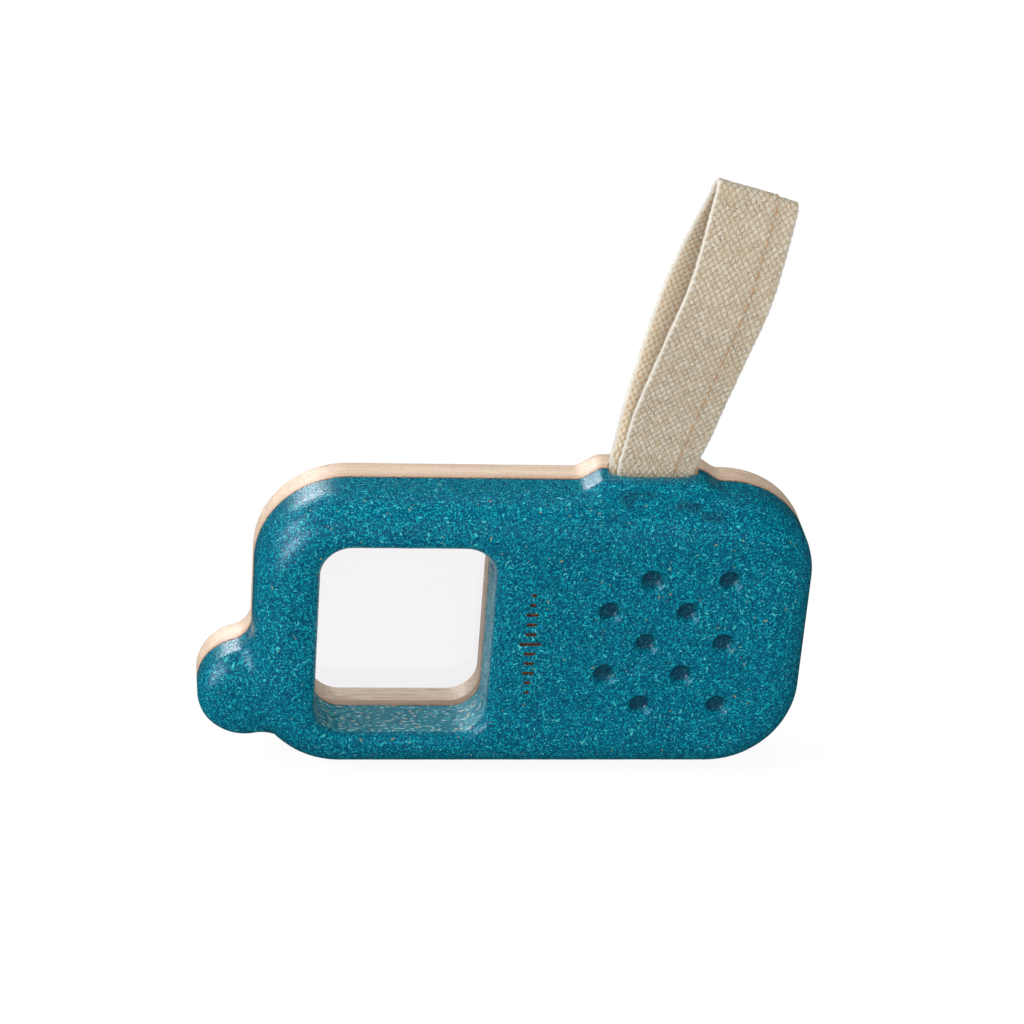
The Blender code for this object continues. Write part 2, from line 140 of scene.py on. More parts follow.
def outside_circle(c0, r0, c1, r1, rf, side):
    a, b = r0 + rf, r1 + rf
    dx, dz = c1[0] - c0[0], c1[1] - c0[1]
    d = math.hypot(dx, dz)
    t = (a * a - b * b + d * d) / (2 * d)
    h = math.sqrt(a * a - t * t)
    ux, uz = dx / d, dz / d
    return (c0[0] + t * ux - side * h * uz, c0[1] + t * uz + side * h * ux)


def angle_to(c, p):
    return math.degrees(math.atan2(p[1] - c[1], p[0] - c[0])) % 360


def body_outline():
    """Fine outline, counter-clockwise in x, z: body, strap boss and stub antenna."""
    r = CORNER_R
    low, lobe = (r, r), (LOBE_X, LOBE_Z)
    pts = arc(BODY_L - r, r, r, -90, 0, 60) + arc(BODY_L - r, BODY_H - r, r, 0, 90, 60)
    for x0, x1, rise in ((BOSS_X1, BOSS_X1 - BOSS_RUN, 1), (BOSS_X0 + BOSS_RUN, BOSS_X0, 0)):
        for i in range(25):
            t = i / 24
            lift = 0.5 - 0.5 * math.cos(math.pi * (t if rise else 1 - t))
            pts.append((x0 + (x1 - x0) * t, BODY_H + BOSS_H * lift))
    pts += arc(r, BODY_H - r, r, 90, 180, 60)
    zc = LOBE_Z + math.sqrt((LOBE_R + NECK_TOP_R) ** 2 - (NECK_TOP_R + LOBE_X) ** 2)
    neck = (-NECK_TOP_R, zc)
    pts += arc(neck[0], neck[1], NECK_TOP_R, 0, angle_to(neck, lobe) - 360, 24)
    under = outside_circle(lobe, LOBE_R, low, r, NECK_LOW_R, -1)
    pts += arc(lobe[0], lobe[1], LOBE_R, angle_to(lobe, neck), angle_to(lobe, under), 80, ends=False)
    pts += arc(under[0], under[1], NECK_LOW_R, angle_to(under, lobe), angle_to(under, low), 20)
    pts += arc(low[0], low[1], r, angle_to(low, under), 270, 40)[1:]
    return np.array(pts)


def resample(poly, step):
    """Closed polyline at even spacing."""
    p = np.vstack([poly, poly[:1]])
    seg = np.hypot(*(p[1:] - p[:-1]).T)
    s = np.concatenate([[0], np.cumsum(seg)])
    n = int(round(s[-1] / step))
    t = np.arange(n) * s[-1] / n
    return np.stack([np.interp(t, s, p[:, 0]), np.interp(t, s, p[:, 1])], 1)


def inward(poly):
    """Unit normals to the inside of a counter-clockwise polyline."""
    d = np.roll(poly, -1, 0) - np.roll(poly, 1, 0)
    d /= np.linalg.norm(d, axis=1)[:, None]
    return np.stack([-d[:, 1], d[:, 0]], 1)


def sd_poly(p, poly):
    """Signed distance to a smooth closed counter-clockwise polyline, positive inside."""
    out = np.empty(len(p))
    n = len(poly)
    vv = (poly ** 2).sum(1)
    for k in range(0, len(p), 8000):
        q = p[k:k + 8000]
        near = (vv[None] - 2 * q @ poly.T).argmin(1)
        best = np.full(len(q), np.inf)
        sign = np.ones(len(q))
        for i0 in ((near - 1) % n, near):
            a, b = poly[i0], poly[(i0 + 1) % n]
            ab = b - a
            t = np.clip(((q - a) * ab).sum(1) / (ab ** 2).sum(1), 0, 1)
            r = q - (a + ab * t[:, None])
            d = (r ** 2).sum(1)
            side = ab[:, 0] * (q - a)[:, 1] - ab[:, 1] * (q - a)[:, 0]
            hit = d < best - 1e-12
            best = np.where(hit, d, best)
            sign = np.where(hit, np.where(side >= 0, 1.0, -1.0), sign)
        out[k:k + 8000] = np.sqrt(best) * sign
    return out


def sd_rect(p, x0, x1, z0, z1, r):
    """Signed distance to a rounded rectangle, positive inside."""
    c = np.array([(x0 + x1) / 2, (z0 + z1) / 2])
    h = np.array([(x1 - x0) / 2 - r, (z1 - z0) / 2 - r])
    q = np.abs(p - c) - h
    return -(np.hypot(np.maximum(q[:, 0], 0), np.maximum(q[:, 1], 0))
             + np.minimum(np.maximum(q[:, 0], q[:, 1]), 0) - r)


def rect_loop(grow, step=0.45):
    x0, x1, z0, z1, r = WIN
    g, n = grow, 24
    x0, x1, z0, z1, r = x0 - g, x1 + g, z0 - g, z1 + g, r + g
    pts = (arc(x1 - r, z0 + r, r, -90, 0, n) + arc(x1 - r, z1 - r, r, 0, 90, n)
           + arc(x0 + r, z1 - r, r, 90, 180, n) + arc(x0 + r, z0 + r, r, 180, 270, n))
    return resample(np.array(pts), step)


OUTLINE = resample(body_outline(), 0.42)
OUT_N = inward(OUTLINE)


def hexes(x0, x1, z0, z1, step):
    rows = []
    k = 0
    z = z0
    while z < z1:
        xs = np.arange(x0 + (step / 2 if k % 2 else 0), x1, step)
        rows.append(np.stack([xs, np.full(len(xs), z)], 1))
        z += step * 0.866
        k += 1
    return np.vstack(rows)


# ------------------------------------------------------------ heights
def quarter(d, r):
    """Rise of a quarter ellipse: 0 at d = 0, 1 from d = r on."""
    t = np.clip(d / r, 0, 1)
    return np.sqrt(np.maximum(0, 1 - (1 - t) ** 2))


SIDE = 4.0                       # straight side of the front half
PAD_R, LOW_R, LOW_T = 7.0, 5.4, 7.3


def raw_front(p, d_all=None):
    d_all = sd_poly(p, OUTLINE) if d_all is None else d_all
    d_pad = sd_rect(p, 0, BODY_L, 0, BODY_H, CORNER_R)
    low = SIDE + (LOW_T - SIDE) * quarter(d_all, LOW_R)
    pad = SIDE + (FRONT_T - SIDE) * quarter(d_pad, PAD_R)
    return np.where(d_pad > 0, np.maximum(low, pad), low)


class Filler:
    """Fills hollow creases of a height field with a soft fillet."""

    def __init__(self, fn, sigma, cell=0.25):
        self.x0, self.z0, self.c = -13.0, -4.0, cell
        nx, nz = int(117 / cell), int(66 / cell)
        gx = self.x0 + np.arange(nx) * cell
        gz = self.z0 + np.arange(nz) * cell
        g = np.stack(np.meshgrid(gx, gz, indexing="ij"), -1).reshape(-1, 2)
        h = fn(g).reshape(nx, nz)
        k = np.exp(-0.5 * (np.arange(-4 * sigma / cell, 4 * sigma / cell + 1) * cell / sigma) ** 2)
        k /= k.sum()
        b = h
        for _ in range(2):
            b = np.apply_along_axis(lambda r: np.convolve(np.pad(r, len(k) // 2, mode="edge"), k, "valid"), 0, b)
            b = np.apply_along_axis(lambda r: np.convolve(np.pad(r, len(k) // 2, mode="edge"), k, "valid"), 1, b)
            b = b[:nx, :nz]
        self.f = np.maximum(0, b - h)

    def __call__(self, p):
        fx = (p[:, 0] - self.x0) / self.c
        fz = (p[:, 1] - self.z0) / self.c
        i = np.clip(fx.astype(int), 0, self.f.shape[0] - 2)
        j = np.clip(fz.astype(int), 0, self.f.shape[1] - 2)
        a, b = fx - i, fz - j
        f = self.f
        return (f[i, j] * (1 - a) * (1 - b) + f[i + 1, j] * a * (1 - b)
                + f[i, j + 1] * (1 - a) * b + f[i + 1, j + 1] * a * b)


def dimple_centres():
    return [(DIMPLE_X + (DIMPLE_SHIFT if row % 2 == 0 else 0) + DIMPLE_DX * col,
             DIMPLE_Z - DIMPLE_DZ * row) for row in range(5) for col in range(2)]


def mark_bars():
    out = []
    for i in range(MARK_BARS):
        t = i - (MARK_BARS - 1) / 2
        swell = 0.5 + 0.5 * math.cos(math.pi * t / (MARK_BARS / 2))
        out.append((MARK_Z + t * MARK_PITCH, 0.5 + 1.5 * swell * (0.62 + 0.38 * math.cos(2.1 * t))))
    return out


RIM = 2.0                        # rounded rim of the window in the front
fill_front = Filler(lambda g: raw_front(g), 0.95)


def front_height(p, d_all):
    h = raw_front(p, d_all) + fill_front(p) * smoothstep(0.15, 2.0, d_all)
    dw = -sd_rect(p, *WIN)
    rim = np.clip(dw, 0, RIM)
    h -= RIM - np.sqrt(np.maximum(0, RIM ** 2 - (RIM - rim) ** 2))
    # pressed dimples with a soft shoulder
    for cx, cz in dimple_centres():
        rho = np.hypot(p[:, 0] - cx, p[:, 1] - cz)
        h -= 1.30 * smoothstep(2.50, 1.10, rho) + 0.18 * np.maximum(0, 1 - (rho / 1.3) ** 2)
    # the pressed material isn't perfectly even
    q = np.stack([p[:, 0], p[:, 1], np.zeros(len(p))], 1)
    even = smoothstep(0.0, 1.5, d_all)
    h += even * (0.035 * noise3(q / 2.6, 3) + 0.02 * noise3(q / 0.9, 4))
    return h


# ------------------------------------------------------------ mesh helpers
def triangulate(points, loops):
    """Delaunay triangles of 2-D points with closed loops kept as edges."""
    verts, edges = [Vector(q) for q in points], []
    for start, count in loops:
        edges += [(start + i, start + (i + 1) % count) for i in range(count)]
    v, _, f, src, _, _ = delaunay_2d_cdt(verts, edges, [], 0, 1e-7)
    return np.array([tuple(q) for q in v]), [tuple(t) for t in f], src


def make_object(name, verts, faces, mats, mat_ids=None, sharp=40.0):
    mesh = bpy.data.meshes.new(name)
    mesh.from_pydata([tuple(v) for v in world(verts)], [], faces)
    for m in mats:
        mesh.materials.append(m)
    if mat_ids is not None:
        mesh.polygons.foreach_set("material_index", np.array(mat_ids, np.int32))
    mesh.update()
    bm = bmesh.new()
    bm.from_mesh(mesh)
    bmesh.ops.recalc_face_normals(bm, faces=bm.faces)
    if bm.calc_volume(signed=True) < 0:
        bmesh.ops.reverse_faces(bm, faces=bm.faces)
    bm.to_mesh(mesh)
    bm.free()
    mesh.shade_smooth()
    if sharp:
        mesh.set_sharp_from_angle(angle=math.radians(sharp))
    ob = bpy.data.objects.new(name, mesh)
    bpy.context.scene.collection.objects.link(ob)
    return ob


def cut(ob, cutters, sharp=40.0):
    """Subtract cutters and keep the result as the object's own mesh."""
    for c in cutters:
        m = ob.modifiers.new("cut", "BOOLEAN")
        m.operation, m.solver, m.object = "DIFFERENCE", "EXACT", c
    dg = bpy.context.evaluated_depsgraph_get()
    mesh = bpy.data.meshes.new_from_object(ob.evaluated_get(dg))
    ob.modifiers.clear()
    old = ob.data
    ob.data = mesh
    bpy.data.meshes.remove(old)
    bm = bmesh.new()
    bm.from_mesh(mesh)
    bmesh.ops.dissolve_degenerate(bm, dist=1e-8, edges=bm.edges)
    bm.to_mesh(mesh)
    bm.free()
    mesh.shade_smooth()
    mesh.set_sharp_from_angle(angle=math.radians(sharp))


def slot_cutter(mats, grow=0.0, y_half=SLOT_Y):
    """Rounded slot with a softened mouth, opening upwards."""
    verts, faces = [], []
    rows = [(48.0, 0.0), (54.0, 0.0), (55.2, 0.03), (55.9, 0.12), (56.4, 0.26), (56.8, 0.46), (57.1, 0.74),
            (57.35, 1.12), (57.7, 1.7), (60.0, 1.7)]
    n = 6
    for z, g in rows:
        x0, x1, y0, y1 = SLOT_X0 - grow - g * 0.15, SLOT_X1 + grow + g * 0.15, -y_half - g, y_half + g * 0.5
        r = 1.1 + g * 0.4
        xs = list(np.linspace(x0 + r, x1 - r, 36))
        ring = (arc(x0 + r, y0 + r, r, 180, 270, n) + [(x, y0) for x in xs[1:-1]] + arc(x1 - r, y0 + r, r, -90, 0, n)
                + arc(x1 - r, y1 - r, r, 0, 90, n) + [(x, y1) for x in xs[::-1][1:-1]] + arc(x0 + r, y1 - r, r, 90, 180, n))
        if g > 0:
            # the lip curls up around both sides of the tape, and wanders a little
            curl = lambda x: 0.12 + 0.88 * math.sin(math.pi * min(1.0, max(0.0, (x - x0) / (x1 - x0)))) ** 0.7
            ring = [(x, -y_half + (y + y_half) * curl(x)) if y < -y_half else (x, y) for x, y in ring]
            q = np.array([(x / 3.1, y / 3.1, 0.0) for x, y in ring])
            dz = 0.34 * noise3(q, 61) + 0.12 - 0.58 * np.sin(np.pi * np.clip((q[:, 0] * 3.1 - 61.5) / 17.0, 0, 1)) * (q[:, 1] < 0)
            verts += [(x, y, z + d * min(1.0, g * 4)) for (x, y), d in zip(ring, dz)]
        else:
            verts += [(x, y, z) for x, y in ring]
    m = len(verts) // len(rows)
    for k in range(len(rows) - 1):
        for i in range(m):
            j = (i + 1) % m
            faces.append((k * m + i, k * m + j, (k + 1) * m + j, (k + 1) * m + i))
    faces.append(tuple(range(m)))
    faces.append(tuple(range(len(verts) - m, len(verts))))
    return make_object("cutter_slot", verts, faces, mats, [len(mats) - 1] * len(faces))


def box_cutter(name, b, mats):
    x0, x1, y0, y1, z0, z1 = b
    v = [(x, y, z) for x in (x0, x1) for y in (y0, y1) for z in (z0, z1)]
    f = [(0, 1, 3, 2), (4, 6, 7, 5), (0, 4, 5, 1), (2, 3, 7, 6), (0, 2, 6, 4), (1, 5, 7, 3)]
    return make_object(name, v, f, mats, [len(mats) - 1] * 6)


def plate(name, sign, height, side, ring_r, win_r, joint, mats, wall_mat, bars=False, dense=()):
    """Closed half of the body: shaped face, rounded edges, window walls, flat joint face.

    sign is -1 for the front half and +1 for the back half; height(p, d) is the
    distance of the shaped face from the joint plane.
    """
    pts, loops, dist = [], [], []
    count = 0

    def add(block, d=None):
        nonlocal count
        pts.append(block)
        dist.append(np.full(len(block), np.nan if d is None else d))
        count += len(block)
        return count - len(block)

    n_out = len(OUTLINE)
    add(OUTLINE, 0.0)
    loops.append((0, n_out))
    ring_d = [ring_r * (1 - math.cos(math.radians(a))) for a in (10, 20, 29, 37)]
    for k, d in enumerate(ring_d):
        add(OUTLINE + OUT_N * d, d)
    win0 = rect_loop(0.0)
    w_start = add(win0)
    n_win = len(win0)
    loops.append((w_start, n_win))
    win_d = [win_r * (1 - math.cos(math.radians(a))) for a in (15, 30, 45, 60, 75)]
    for d in win_d:
        add(win0 - inward(win0) * d)
    bar_loops = []
    if bars:
        for z, half in mark_bars():
            w = 0.31
            for inset in (0.0, 0.1):
                r = w - inset
                n = 8
                ring = arc(MARK_X + half - w, z, r, -90, 90, n) + arc(MARK_X - half + w, z, r, 90, 270, n)
                ring = resample(np.array(ring), 0.14)
                s = add(ring)
                loops.append((s, len(ring)))
                if inset == 0.0:
                    bar_loops.append(ring)
    free = [hexes(-10, 101, 0, 58, 0.72)]
    for x0, x1, z0, z1, step in dense:
        free.append(hexes(x0, x1, z0, z1, step))
    if bars:
        for cx, cz in dimple_centres():
            g = hexes(cx - 3.0, cx + 3.0, cz - 3.0, cz + 3.0, 0.24)
            free.append(g[np.hypot(g[:, 0] - cx, g[:, 1] - cz) < 2.8])
    base = free[0]
    keep = np.ones(len(base), bool)
    for x0, x1, z0, z1, step in dense:
        keep &= ~((base[:, 0] > x0) & (base[:, 0] < x1) & (base[:, 1] > z0) & (base[:, 1] < z1))
    if bars:
        for cx, cz in dimple_centres():
            keep &= np.hypot(base[:, 0] - cx, base[:, 1] - cz) > 2.9
    free[0] = base[keep]
    cloud = np.vstack(free)
    cloud += 0.0007 * np.stack([noise3(np.c_[cloud, cloud[:, :1]] * 3.1, 7),
                                noise3(np.c_[cloud, cloud[:, :1]] * 3.1, 8)], 1)
    d_out = sd_poly(cloud, OUTLINE)
    d_win = -sd_rect(cloud, *WIN)
    ok = (d_out > ring_d[-1] + 0.25) & (d_win > win_d[-1] + 0.3)
    if bars:
        for z, half in mark_bars():
            dx = np.maximum(np.abs(cloud[:, 0] - MARK_X) - (half - 0.31), 0)
            ok &= np.hypot(dx, cloud[:, 1] - z) > 0.31 + 0.22
    add(cloud[ok])
    pts = np.vstack(pts)
    dist = np.concatenate(dist)
    v2, tris, src = triangulate(pts, loops)
    d_all = sd_poly(v2, OUTLINE)
    for k, ids in enumerate(src):
        if ids and not np.isnan(dist[ids[0]]):
            d_all[k] = dist[ids[0]]
    cen = np.array([(v2[a] + v2[b] + v2[c]) / 3 for a, b, c in tris])
    inside = (sd_poly(cen, OUTLINE) > 1e-4) & (-sd_rect(cen, *WIN) > -1e-3)
    # triangles with all corners on the window loop lie in the hole
    tris = [t for t, k in zip(tris, inside) if k]
    cen = cen[inside]
    h = height(v2, np.maximum(d_all, 0))
    ids = np.zeros(len(tris), int)
    if bars:
        depth = np.zeros(len(v2))
        for z, half in mark_bars():
            dx = np.maximum(np.abs(v2[:, 0] - MARK_X) - (half - 0.31), 0)
            r = np.hypot(dx, v2[:, 1] - z)
            depth = np.maximum(depth, 0.42 * smoothstep(0.305, 0.215, r))
            dx = np.maximum(np.abs(cen[:, 0] - MARK_X) - (half - 0.31), 0)
            ids[np.hypot(dx, cen[:, 1] - z) < 0.30] = 2
        h -= depth
    verts = np.stack([v2[:, 0], sign * h, v2[:, 1]], 1)
    # index of loop vertices after triangulation
    where = {}
    for k, s in enumerate(src):
        for i in s:
            where[i] = k
    out_ids = [where[i] for i in range(n_out)]
    win_ids = [where[w_start + i] for i in range(n_win)]
    verts = list(map(tuple, verts))
    faces = [t if sign < 0 else t[::-1] for t in tris]
    mat_ids = list(ids)

    def wall(loop, depths, mat):
        prev = loop
        for depth in depths:
            row = []
            for k in loop:
                x, _, z = verts[k]
                verts.append((x, sign * depth, z))
                row.append(len(verts) - 1)
            n = len(row)
            for i in range(n):
                j = (i + 1) % n
                faces.append((prev[i], prev[j], row[j], row[i]))
                mat_ids.append(mat)
            prev = row
        return prev

    h_out = side
    steps = [h_out * (1 - i / 5) + joint * i / 5 for i in range(1, 6)]
    last_out = wall(out_ids, steps, 0)
    h_win = float(np.mean([abs(verts[k][1]) for k in win_ids]))
    steps = [h_win * (1 - i / 7) + joint * i / 7 for i in range(1, 8)]
    last_win = wall(win_ids, steps, wall_mat)
    # flat joint face
    flat = np.array([[verts[k][0], verts[k][2]] for k in last_out + last_win])
    fv, ft, fsrc = triangulate(flat, [(0, n_out), (n_out, n_win)])
    back = {}
    for k, s in enumerate(fsrc):
        back[k] = (last_out + last_win)[s[0]]
    cen = np.array([(fv[a] + fv[b] + fv[c]) / 3 for a, b, c in ft])
    good = (sd_poly(cen, OUTLINE) > 1e-4) & (-sd_rect(cen, *WIN) > -1e-3)
    for (a, b, c), k in zip(ft, good):
        if k:
            faces.append((back[a], back[b], back[c]))
            mat_ids.append(0)
    return make_object(name, np.array(verts), faces, mats, mat_ids)


# ------------------------------------------------------------ materials
class Nodes:
    """Short-hand for building a node tree."""

    def __init__(self, name):
        self.mat = bpy.data.materials.new(name)
        self.mat.use_nodes = True
        self.t = self.mat.node_tree
        self.t.nodes.clear()
        self.out = self.t.nodes.new("ShaderNodeOutputMaterial")

    def add(self, kind, **kw):
        n = self.t.nodes.new(kind)
        for k, v in kw.items():
            setattr(n, k, v)
        return n

    def link(self, a, b):
        self.t.links.new(a, b)

    def put(self, sock, v):
        if isinstance(v, bpy.types.NodeSocket):
            self.link(v, sock)
        elif isinstance(v, (tuple, list)) and len(v) == 3 and sock.type == "RGBA":
            sock.default_value = (*v, 1.0)
        else:
            sock.default_value = v

    def math(self, op, a, b=0.0, c=None, clamp=False):
        n = self.add("ShaderNodeMath", operation=op, use_clamp=clamp)
        self.put(n.inputs[0], a)
        self.put(n.inputs[1], b)
        if c is not None:
            self.put(n.inputs[2], c)
        return n.outputs[0]

    def mix(self, f, a, b, mode="MIX"):
        n = self.add("ShaderNodeMix", data_type="RGBA", blend_type=mode)
        self.put(n.inputs[0], f)
        self.put(n.inputs[6], a)
        self.put(n.inputs[7], b)
        return n.outputs[2]

    def mixf(self, f, a, b):
        n = self.add("ShaderNodeMix", data_type="FLOAT")
        self.put(n.inputs[0], f)
        self.put(n.inputs[2], a)
        self.put(n.inputs[3], b)
        return n.outputs[0]

    def step(self, x, lo, hi):
        """Smooth 0..1 as x goes from lo to hi (either order)."""
        n = self.add("ShaderNodeMapRange", interpolation_type="SMOOTHSTEP")
        self.put(n.inputs["Value"], x)
        if lo < hi:
            n.inputs["From Min"].default_value, n.inputs["From Max"].default_value = lo, hi
            n.inputs["To Min"].default_value, n.inputs["To Max"].default_value = 0.0, 1.0
        else:
            n.inputs["From Min"].default_value, n.inputs["From Max"].default_value = hi, lo
            n.inputs["To Min"].default_value, n.inputs["To Max"].default_value = 1.0, 0.0
        return n.outputs[0]

    def coords_mm(self, loc=(0, 0, 0), rot=(0, 0, 0), scale=(1, 1, 1)):
        """Object coordinates in millimetres, moved, turned and scaled."""
        if not hasattr(self, "_mm"):
            tc = self.add("ShaderNodeTexCoord")
            m = self.add("ShaderNodeVectorMath", operation="SCALE")
            self.link(tc.outputs["Object"], m.inputs[0])
            m.inputs["Scale"].default_value = 1000.0
            self._mm = m.outputs[0]
        out = self._mm
        if any(rot):
            r = self.add("ShaderNodeVectorRotate", rotation_type="EULER_XYZ")
            self.link(out, r.inputs["Vector"])
            r.inputs["Rotation"].default_value = rot
            out = r.outputs[0]
        m = self.add("ShaderNodeVectorMath", operation="MULTIPLY_ADD")
        self.link(out, m.inputs[0])
        m.inputs[1].default_value = scale
        m.inputs[2].default_value = loc
        return m.outputs[0]

    def noise(self, vec, scale=1.0, detail=2.0, rough=0.5, dist=0.0):
        n = self.add("ShaderNodeTexNoise")
        self.link(vec, n.inputs["Vector"])
        n.inputs["Scale"].default_value = scale
        n.inputs["Detail"].default_value = detail
        n.inputs["Roughness"].default_value = rough
        n.inputs["Distortion"].default_value = dist
        return n.outputs["Fac"]

    def voronoi(self, vec, scale=1.0, rand=1.0):
        n = self.add("ShaderNodeTexVoronoi")
        self.link(vec, n.inputs["Vector"])
        n.inputs["Scale"].default_value = scale
        n.inputs["Randomness"].default_value = rand
        return n.outputs["Distance"], n.outputs["Color"]

    def rgb(self, col):
        s = self.add("ShaderNodeSeparateColor")
        self.link(col, s.inputs[0])
        return s.outputs[0], s.outputs[1], s.outputs[2]

    def bump(self, height, dist, strength=1.0, normal=None):
        n = self.add("ShaderNodeBump")
        self.put(n.inputs["Height"], height)
        n.inputs["Distance"].default_value = dist
        n.inputs["Strength"].default_value = strength
        if normal is not None:
            self.link(normal, n.inputs["Normal"])
        return n.outputs[0]

    def principled(self, **kw):
        n = self.add("ShaderNodeBsdfPrincipled")
        for k, v in kw.items():
            self.put(n.inputs[k.replace("_", " ")], v)
        return n

    def done(self, shader):
        self.link(shader, self.out.inputs["Surface"])
        return self.mat


def srgb(r, g, b):
    def f(c):
        c /= 255.0
        return c / 12.92 if c <= 0.04045 else ((c + 0.055) / 1.055) ** 2.4
    return (f(r), f(g), f(b))


def chips(n, cell, loc, half_l, half_w, flat=(1, 1, 1), bias=(1, 1, 1)):
    """One randomly turned chip per cell: its soft mask and four random numbers."""
    vec = n.coords_mm(loc=loc, scale=tuple(f / cell for f in flat))
    v = n.add("ShaderNodeTexVoronoi")
    n.link(vec, v.inputs["Vector"])
    v.inputs["Scale"].default_value = 1.0
    d = n.add("ShaderNodeVectorMath", operation="SUBTRACT")
    n.link(vec, d.inputs[0])
    n.link(v.outputs["Position"], d.inputs[1])
    wn = n.add("ShaderNodeTexWhiteNoise", noise_dimensions="3D")
    n.link(v.outputs["Color"], wn.inputs["Vector"])
    c = n.add("ShaderNodeVectorMath", operation="SUBTRACT")
    n.link(v.outputs["Color"], c.inputs[0])
    c.inputs[1].default_value = (0.5, 0.5, 0.5)
    m = n.add("ShaderNodeVectorMath", operation="MULTIPLY")
    n.link(c.outputs[0], m.inputs[0])
    m.inputs[1].default_value = bias
    u = n.add("ShaderNodeVectorMath", operation="NORMALIZE")
    n.link(m.outputs[0], u.inputs[0])
    dot = n.add("ShaderNodeVectorMath", operation="DOT_PRODUCT")
    n.link(d.outputs[0], dot.inputs[0])
    n.link(u.outputs[0], dot.inputs[1])
    dd = n.add("ShaderNodeVectorMath", operation="DOT_PRODUCT")
    n.link(d.outputs[0], dd.inputs[0])
    n.link(d.outputs[0], dd.inputs[1])
    al2 = n.math("MULTIPLY", dot.outputs["Value"], dot.outputs["Value"])
    perp = n.math("SUBTRACT", dd.outputs["Value"], al2)
    e = n.math("ADD", n.math("MULTIPLY", al2, 1.0 / (half_l / cell) ** 2), n.math("MULTIPLY", perp, 1.0 / (half_w / cell) ** 2))
    mask = n.step(e, 1.18, 0.68)
    r, g, b = n.rgb(wn.outputs["Color"])
    return mask, r, g, b, wn.outputs["Value"]


def composite(name, cut_face=False):
    """Dyed pressed sawdust: teal body, fine chips in every direction."""
    n = Nodes(name)
    p = n.coords_mm()
    fine = n.noise(p, 3.0, 2.0, 0.65)
    large = n.noise(p, 0.16, 1.0, 0.5)
    base = n.mix(n.step(fine, 0.30, 0.70), DARK_TEAL, MID_TEAL)
    base = n.mix(n.math("MULTIPLY", n.step(large, 0.3, 0.7), 0.25), base, srgb(0, 84, 116))
    height = n.math("MULTIPLY", fine, 0.8)
    squeeze = (0.7, 2.6, 0.7) if cut_face else (1, 1, 1)
    sets = [(0.46, (3, 1, 5), 0.34, 0.10), (0.60, (11, 4, 2), 0.44, 0.11), (0.40, (7, 9, 13), 0.30, 0.095),
            (0.70, (5, 18, 9), 0.50, 0.12)]
    for k, (cell, loc, hl, hw) in enumerate(sets):
        mask, r, g, b, q = chips(n, cell, loc, hl, hw, flat=squeeze, bias=(1, 0.1, 1) if cut_face else (1, 0.45, 1))
        dark = n.step(r, 0.38, 0.36)
        light = n.step(r, 0.40, 0.42)
        tone = n.mix(g, LIGHT_TEAL_A, LIGHT_TEAL_B)
        tone = n.mix(n.step(b, 0.82, 0.94), tone, CHIP_BRIGHT)
        if k >= 2:
            tone = n.mix(n.step(b, 0.020, 0.014), tone, CHIP_WARM)
        tone = n.mix(dark, tone, CHIP_DARK)
        amount = n.math("MULTIPLY", n.math("MAXIMUM", dark, light), n.math("MULTIPLY_ADD", q, 0.5, 0.5))
        base = n.mix(n.math("MULTIPLY", mask, amount), base, tone)
        if k < 2:
            height = n.math("ADD", height, n.math("MULTIPLY", n.math("MULTIPLY", mask, light), 0.5))
    # now and then a bigger chip
    mask, r, g, b, q = chips(n, 1.5, (9, 21, 4), 0.55, 0.22, bias=(1, 0.3, 1))
    base = n.mix(n.math("MULTIPLY", mask, n.math("MULTIPLY", n.step(r, 0.22, 0.20), 0.8)), base, n.mix(g, srgb(14, 160, 160), srgb(84, 208, 204)))
    # painted shade: dark navy in the dimples and below the strap's boss
    painted_shade = n.add("ShaderNodeAttribute", attribute_name="painted_shade").outputs["Fac"]
    base = n.mix(n.math("MULTIPLY", painted_shade, 0.74), base, srgb(20, 42, 64))
    rough = n.math("MULTIPLY_ADD", fine, 0.16, 0.20)
    if cut_face:
        base = n.mix(0.30, base, srgb(40, 150, 164))
        # milled wall of the window: undyed chips laid open as long thin streaks
        for k, (loc, cell, hl, hw, amount, c0, c1) in enumerate([
                ((14, 7, 1), 0.70, 0.62, 0.20, 0.85, srgb(120, 212, 218), srgb(30, 172, 186)),
                ((4, 2, 9), 0.95, 0.90, 0.20, 0.36, srgb(234, 190, 140), srgb(248, 236, 212)),
                ((8, 3, 15), 0.75, 0.70, 0.18, 0.42, srgb(230, 246, 244), srgb(180, 228, 228)),
                ((2, 5, 12), 0.80, 0.74, 0.22, 0.42, srgb(0, 50, 72), srgb(0, 88, 106))]):
            mask, r, g, b, q = chips(n, cell, loc, hl, hw, flat=(0.60, 1.10, 0.60), bias=(1, 0.30, 1))
            m = n.math("MULTIPLY", mask, n.step(r, amount + 0.02, amount - 0.02))
            base = n.mix(n.math("MULTIPLY", m, n.math("MULTIPLY_ADD", q, 0.5, 0.5)), base, n.mix(g, c0, c1))
        rough = n.math("MULTIPLY_ADD", fine, 0.2, 0.5)
    s = n.principled(Base_Color=base, Roughness=rough, Normal=n.bump(height, 0.00009, 0.7))
    s.inputs["Specular IOR Level"].default_value = 0.27
    return n.done(s.outputs[0])


DARK_TEAL, MID_TEAL = srgb(0, 73, 98), srgb(0, 111, 138)
LIGHT_TEAL_A, LIGHT_TEAL_B = srgb(0, 143, 162), srgb(0, 181, 194)
CHIP_BRIGHT, CHIP_DARK, CHIP_WARM = srgb(78, 208, 212), srgb(0, 50, 76), srgb(176, 152, 92)


def burnt(name):
    """Floor of the engraved bars: scorched composite."""
    n = Nodes(name)
    p = n.coords_mm()
    a = n.noise(p, 4.0, 3.0, 0.6)
    col = n.mix(n.step(a, 0.35, 0.7), srgb(26, 20, 18), srgb(128, 82, 46))
    s = n.principled(Base_Color=col, Roughness=0.85, Normal=n.bump(a, 0.0001, 0.7))
    return n.done(s.outputs[0])


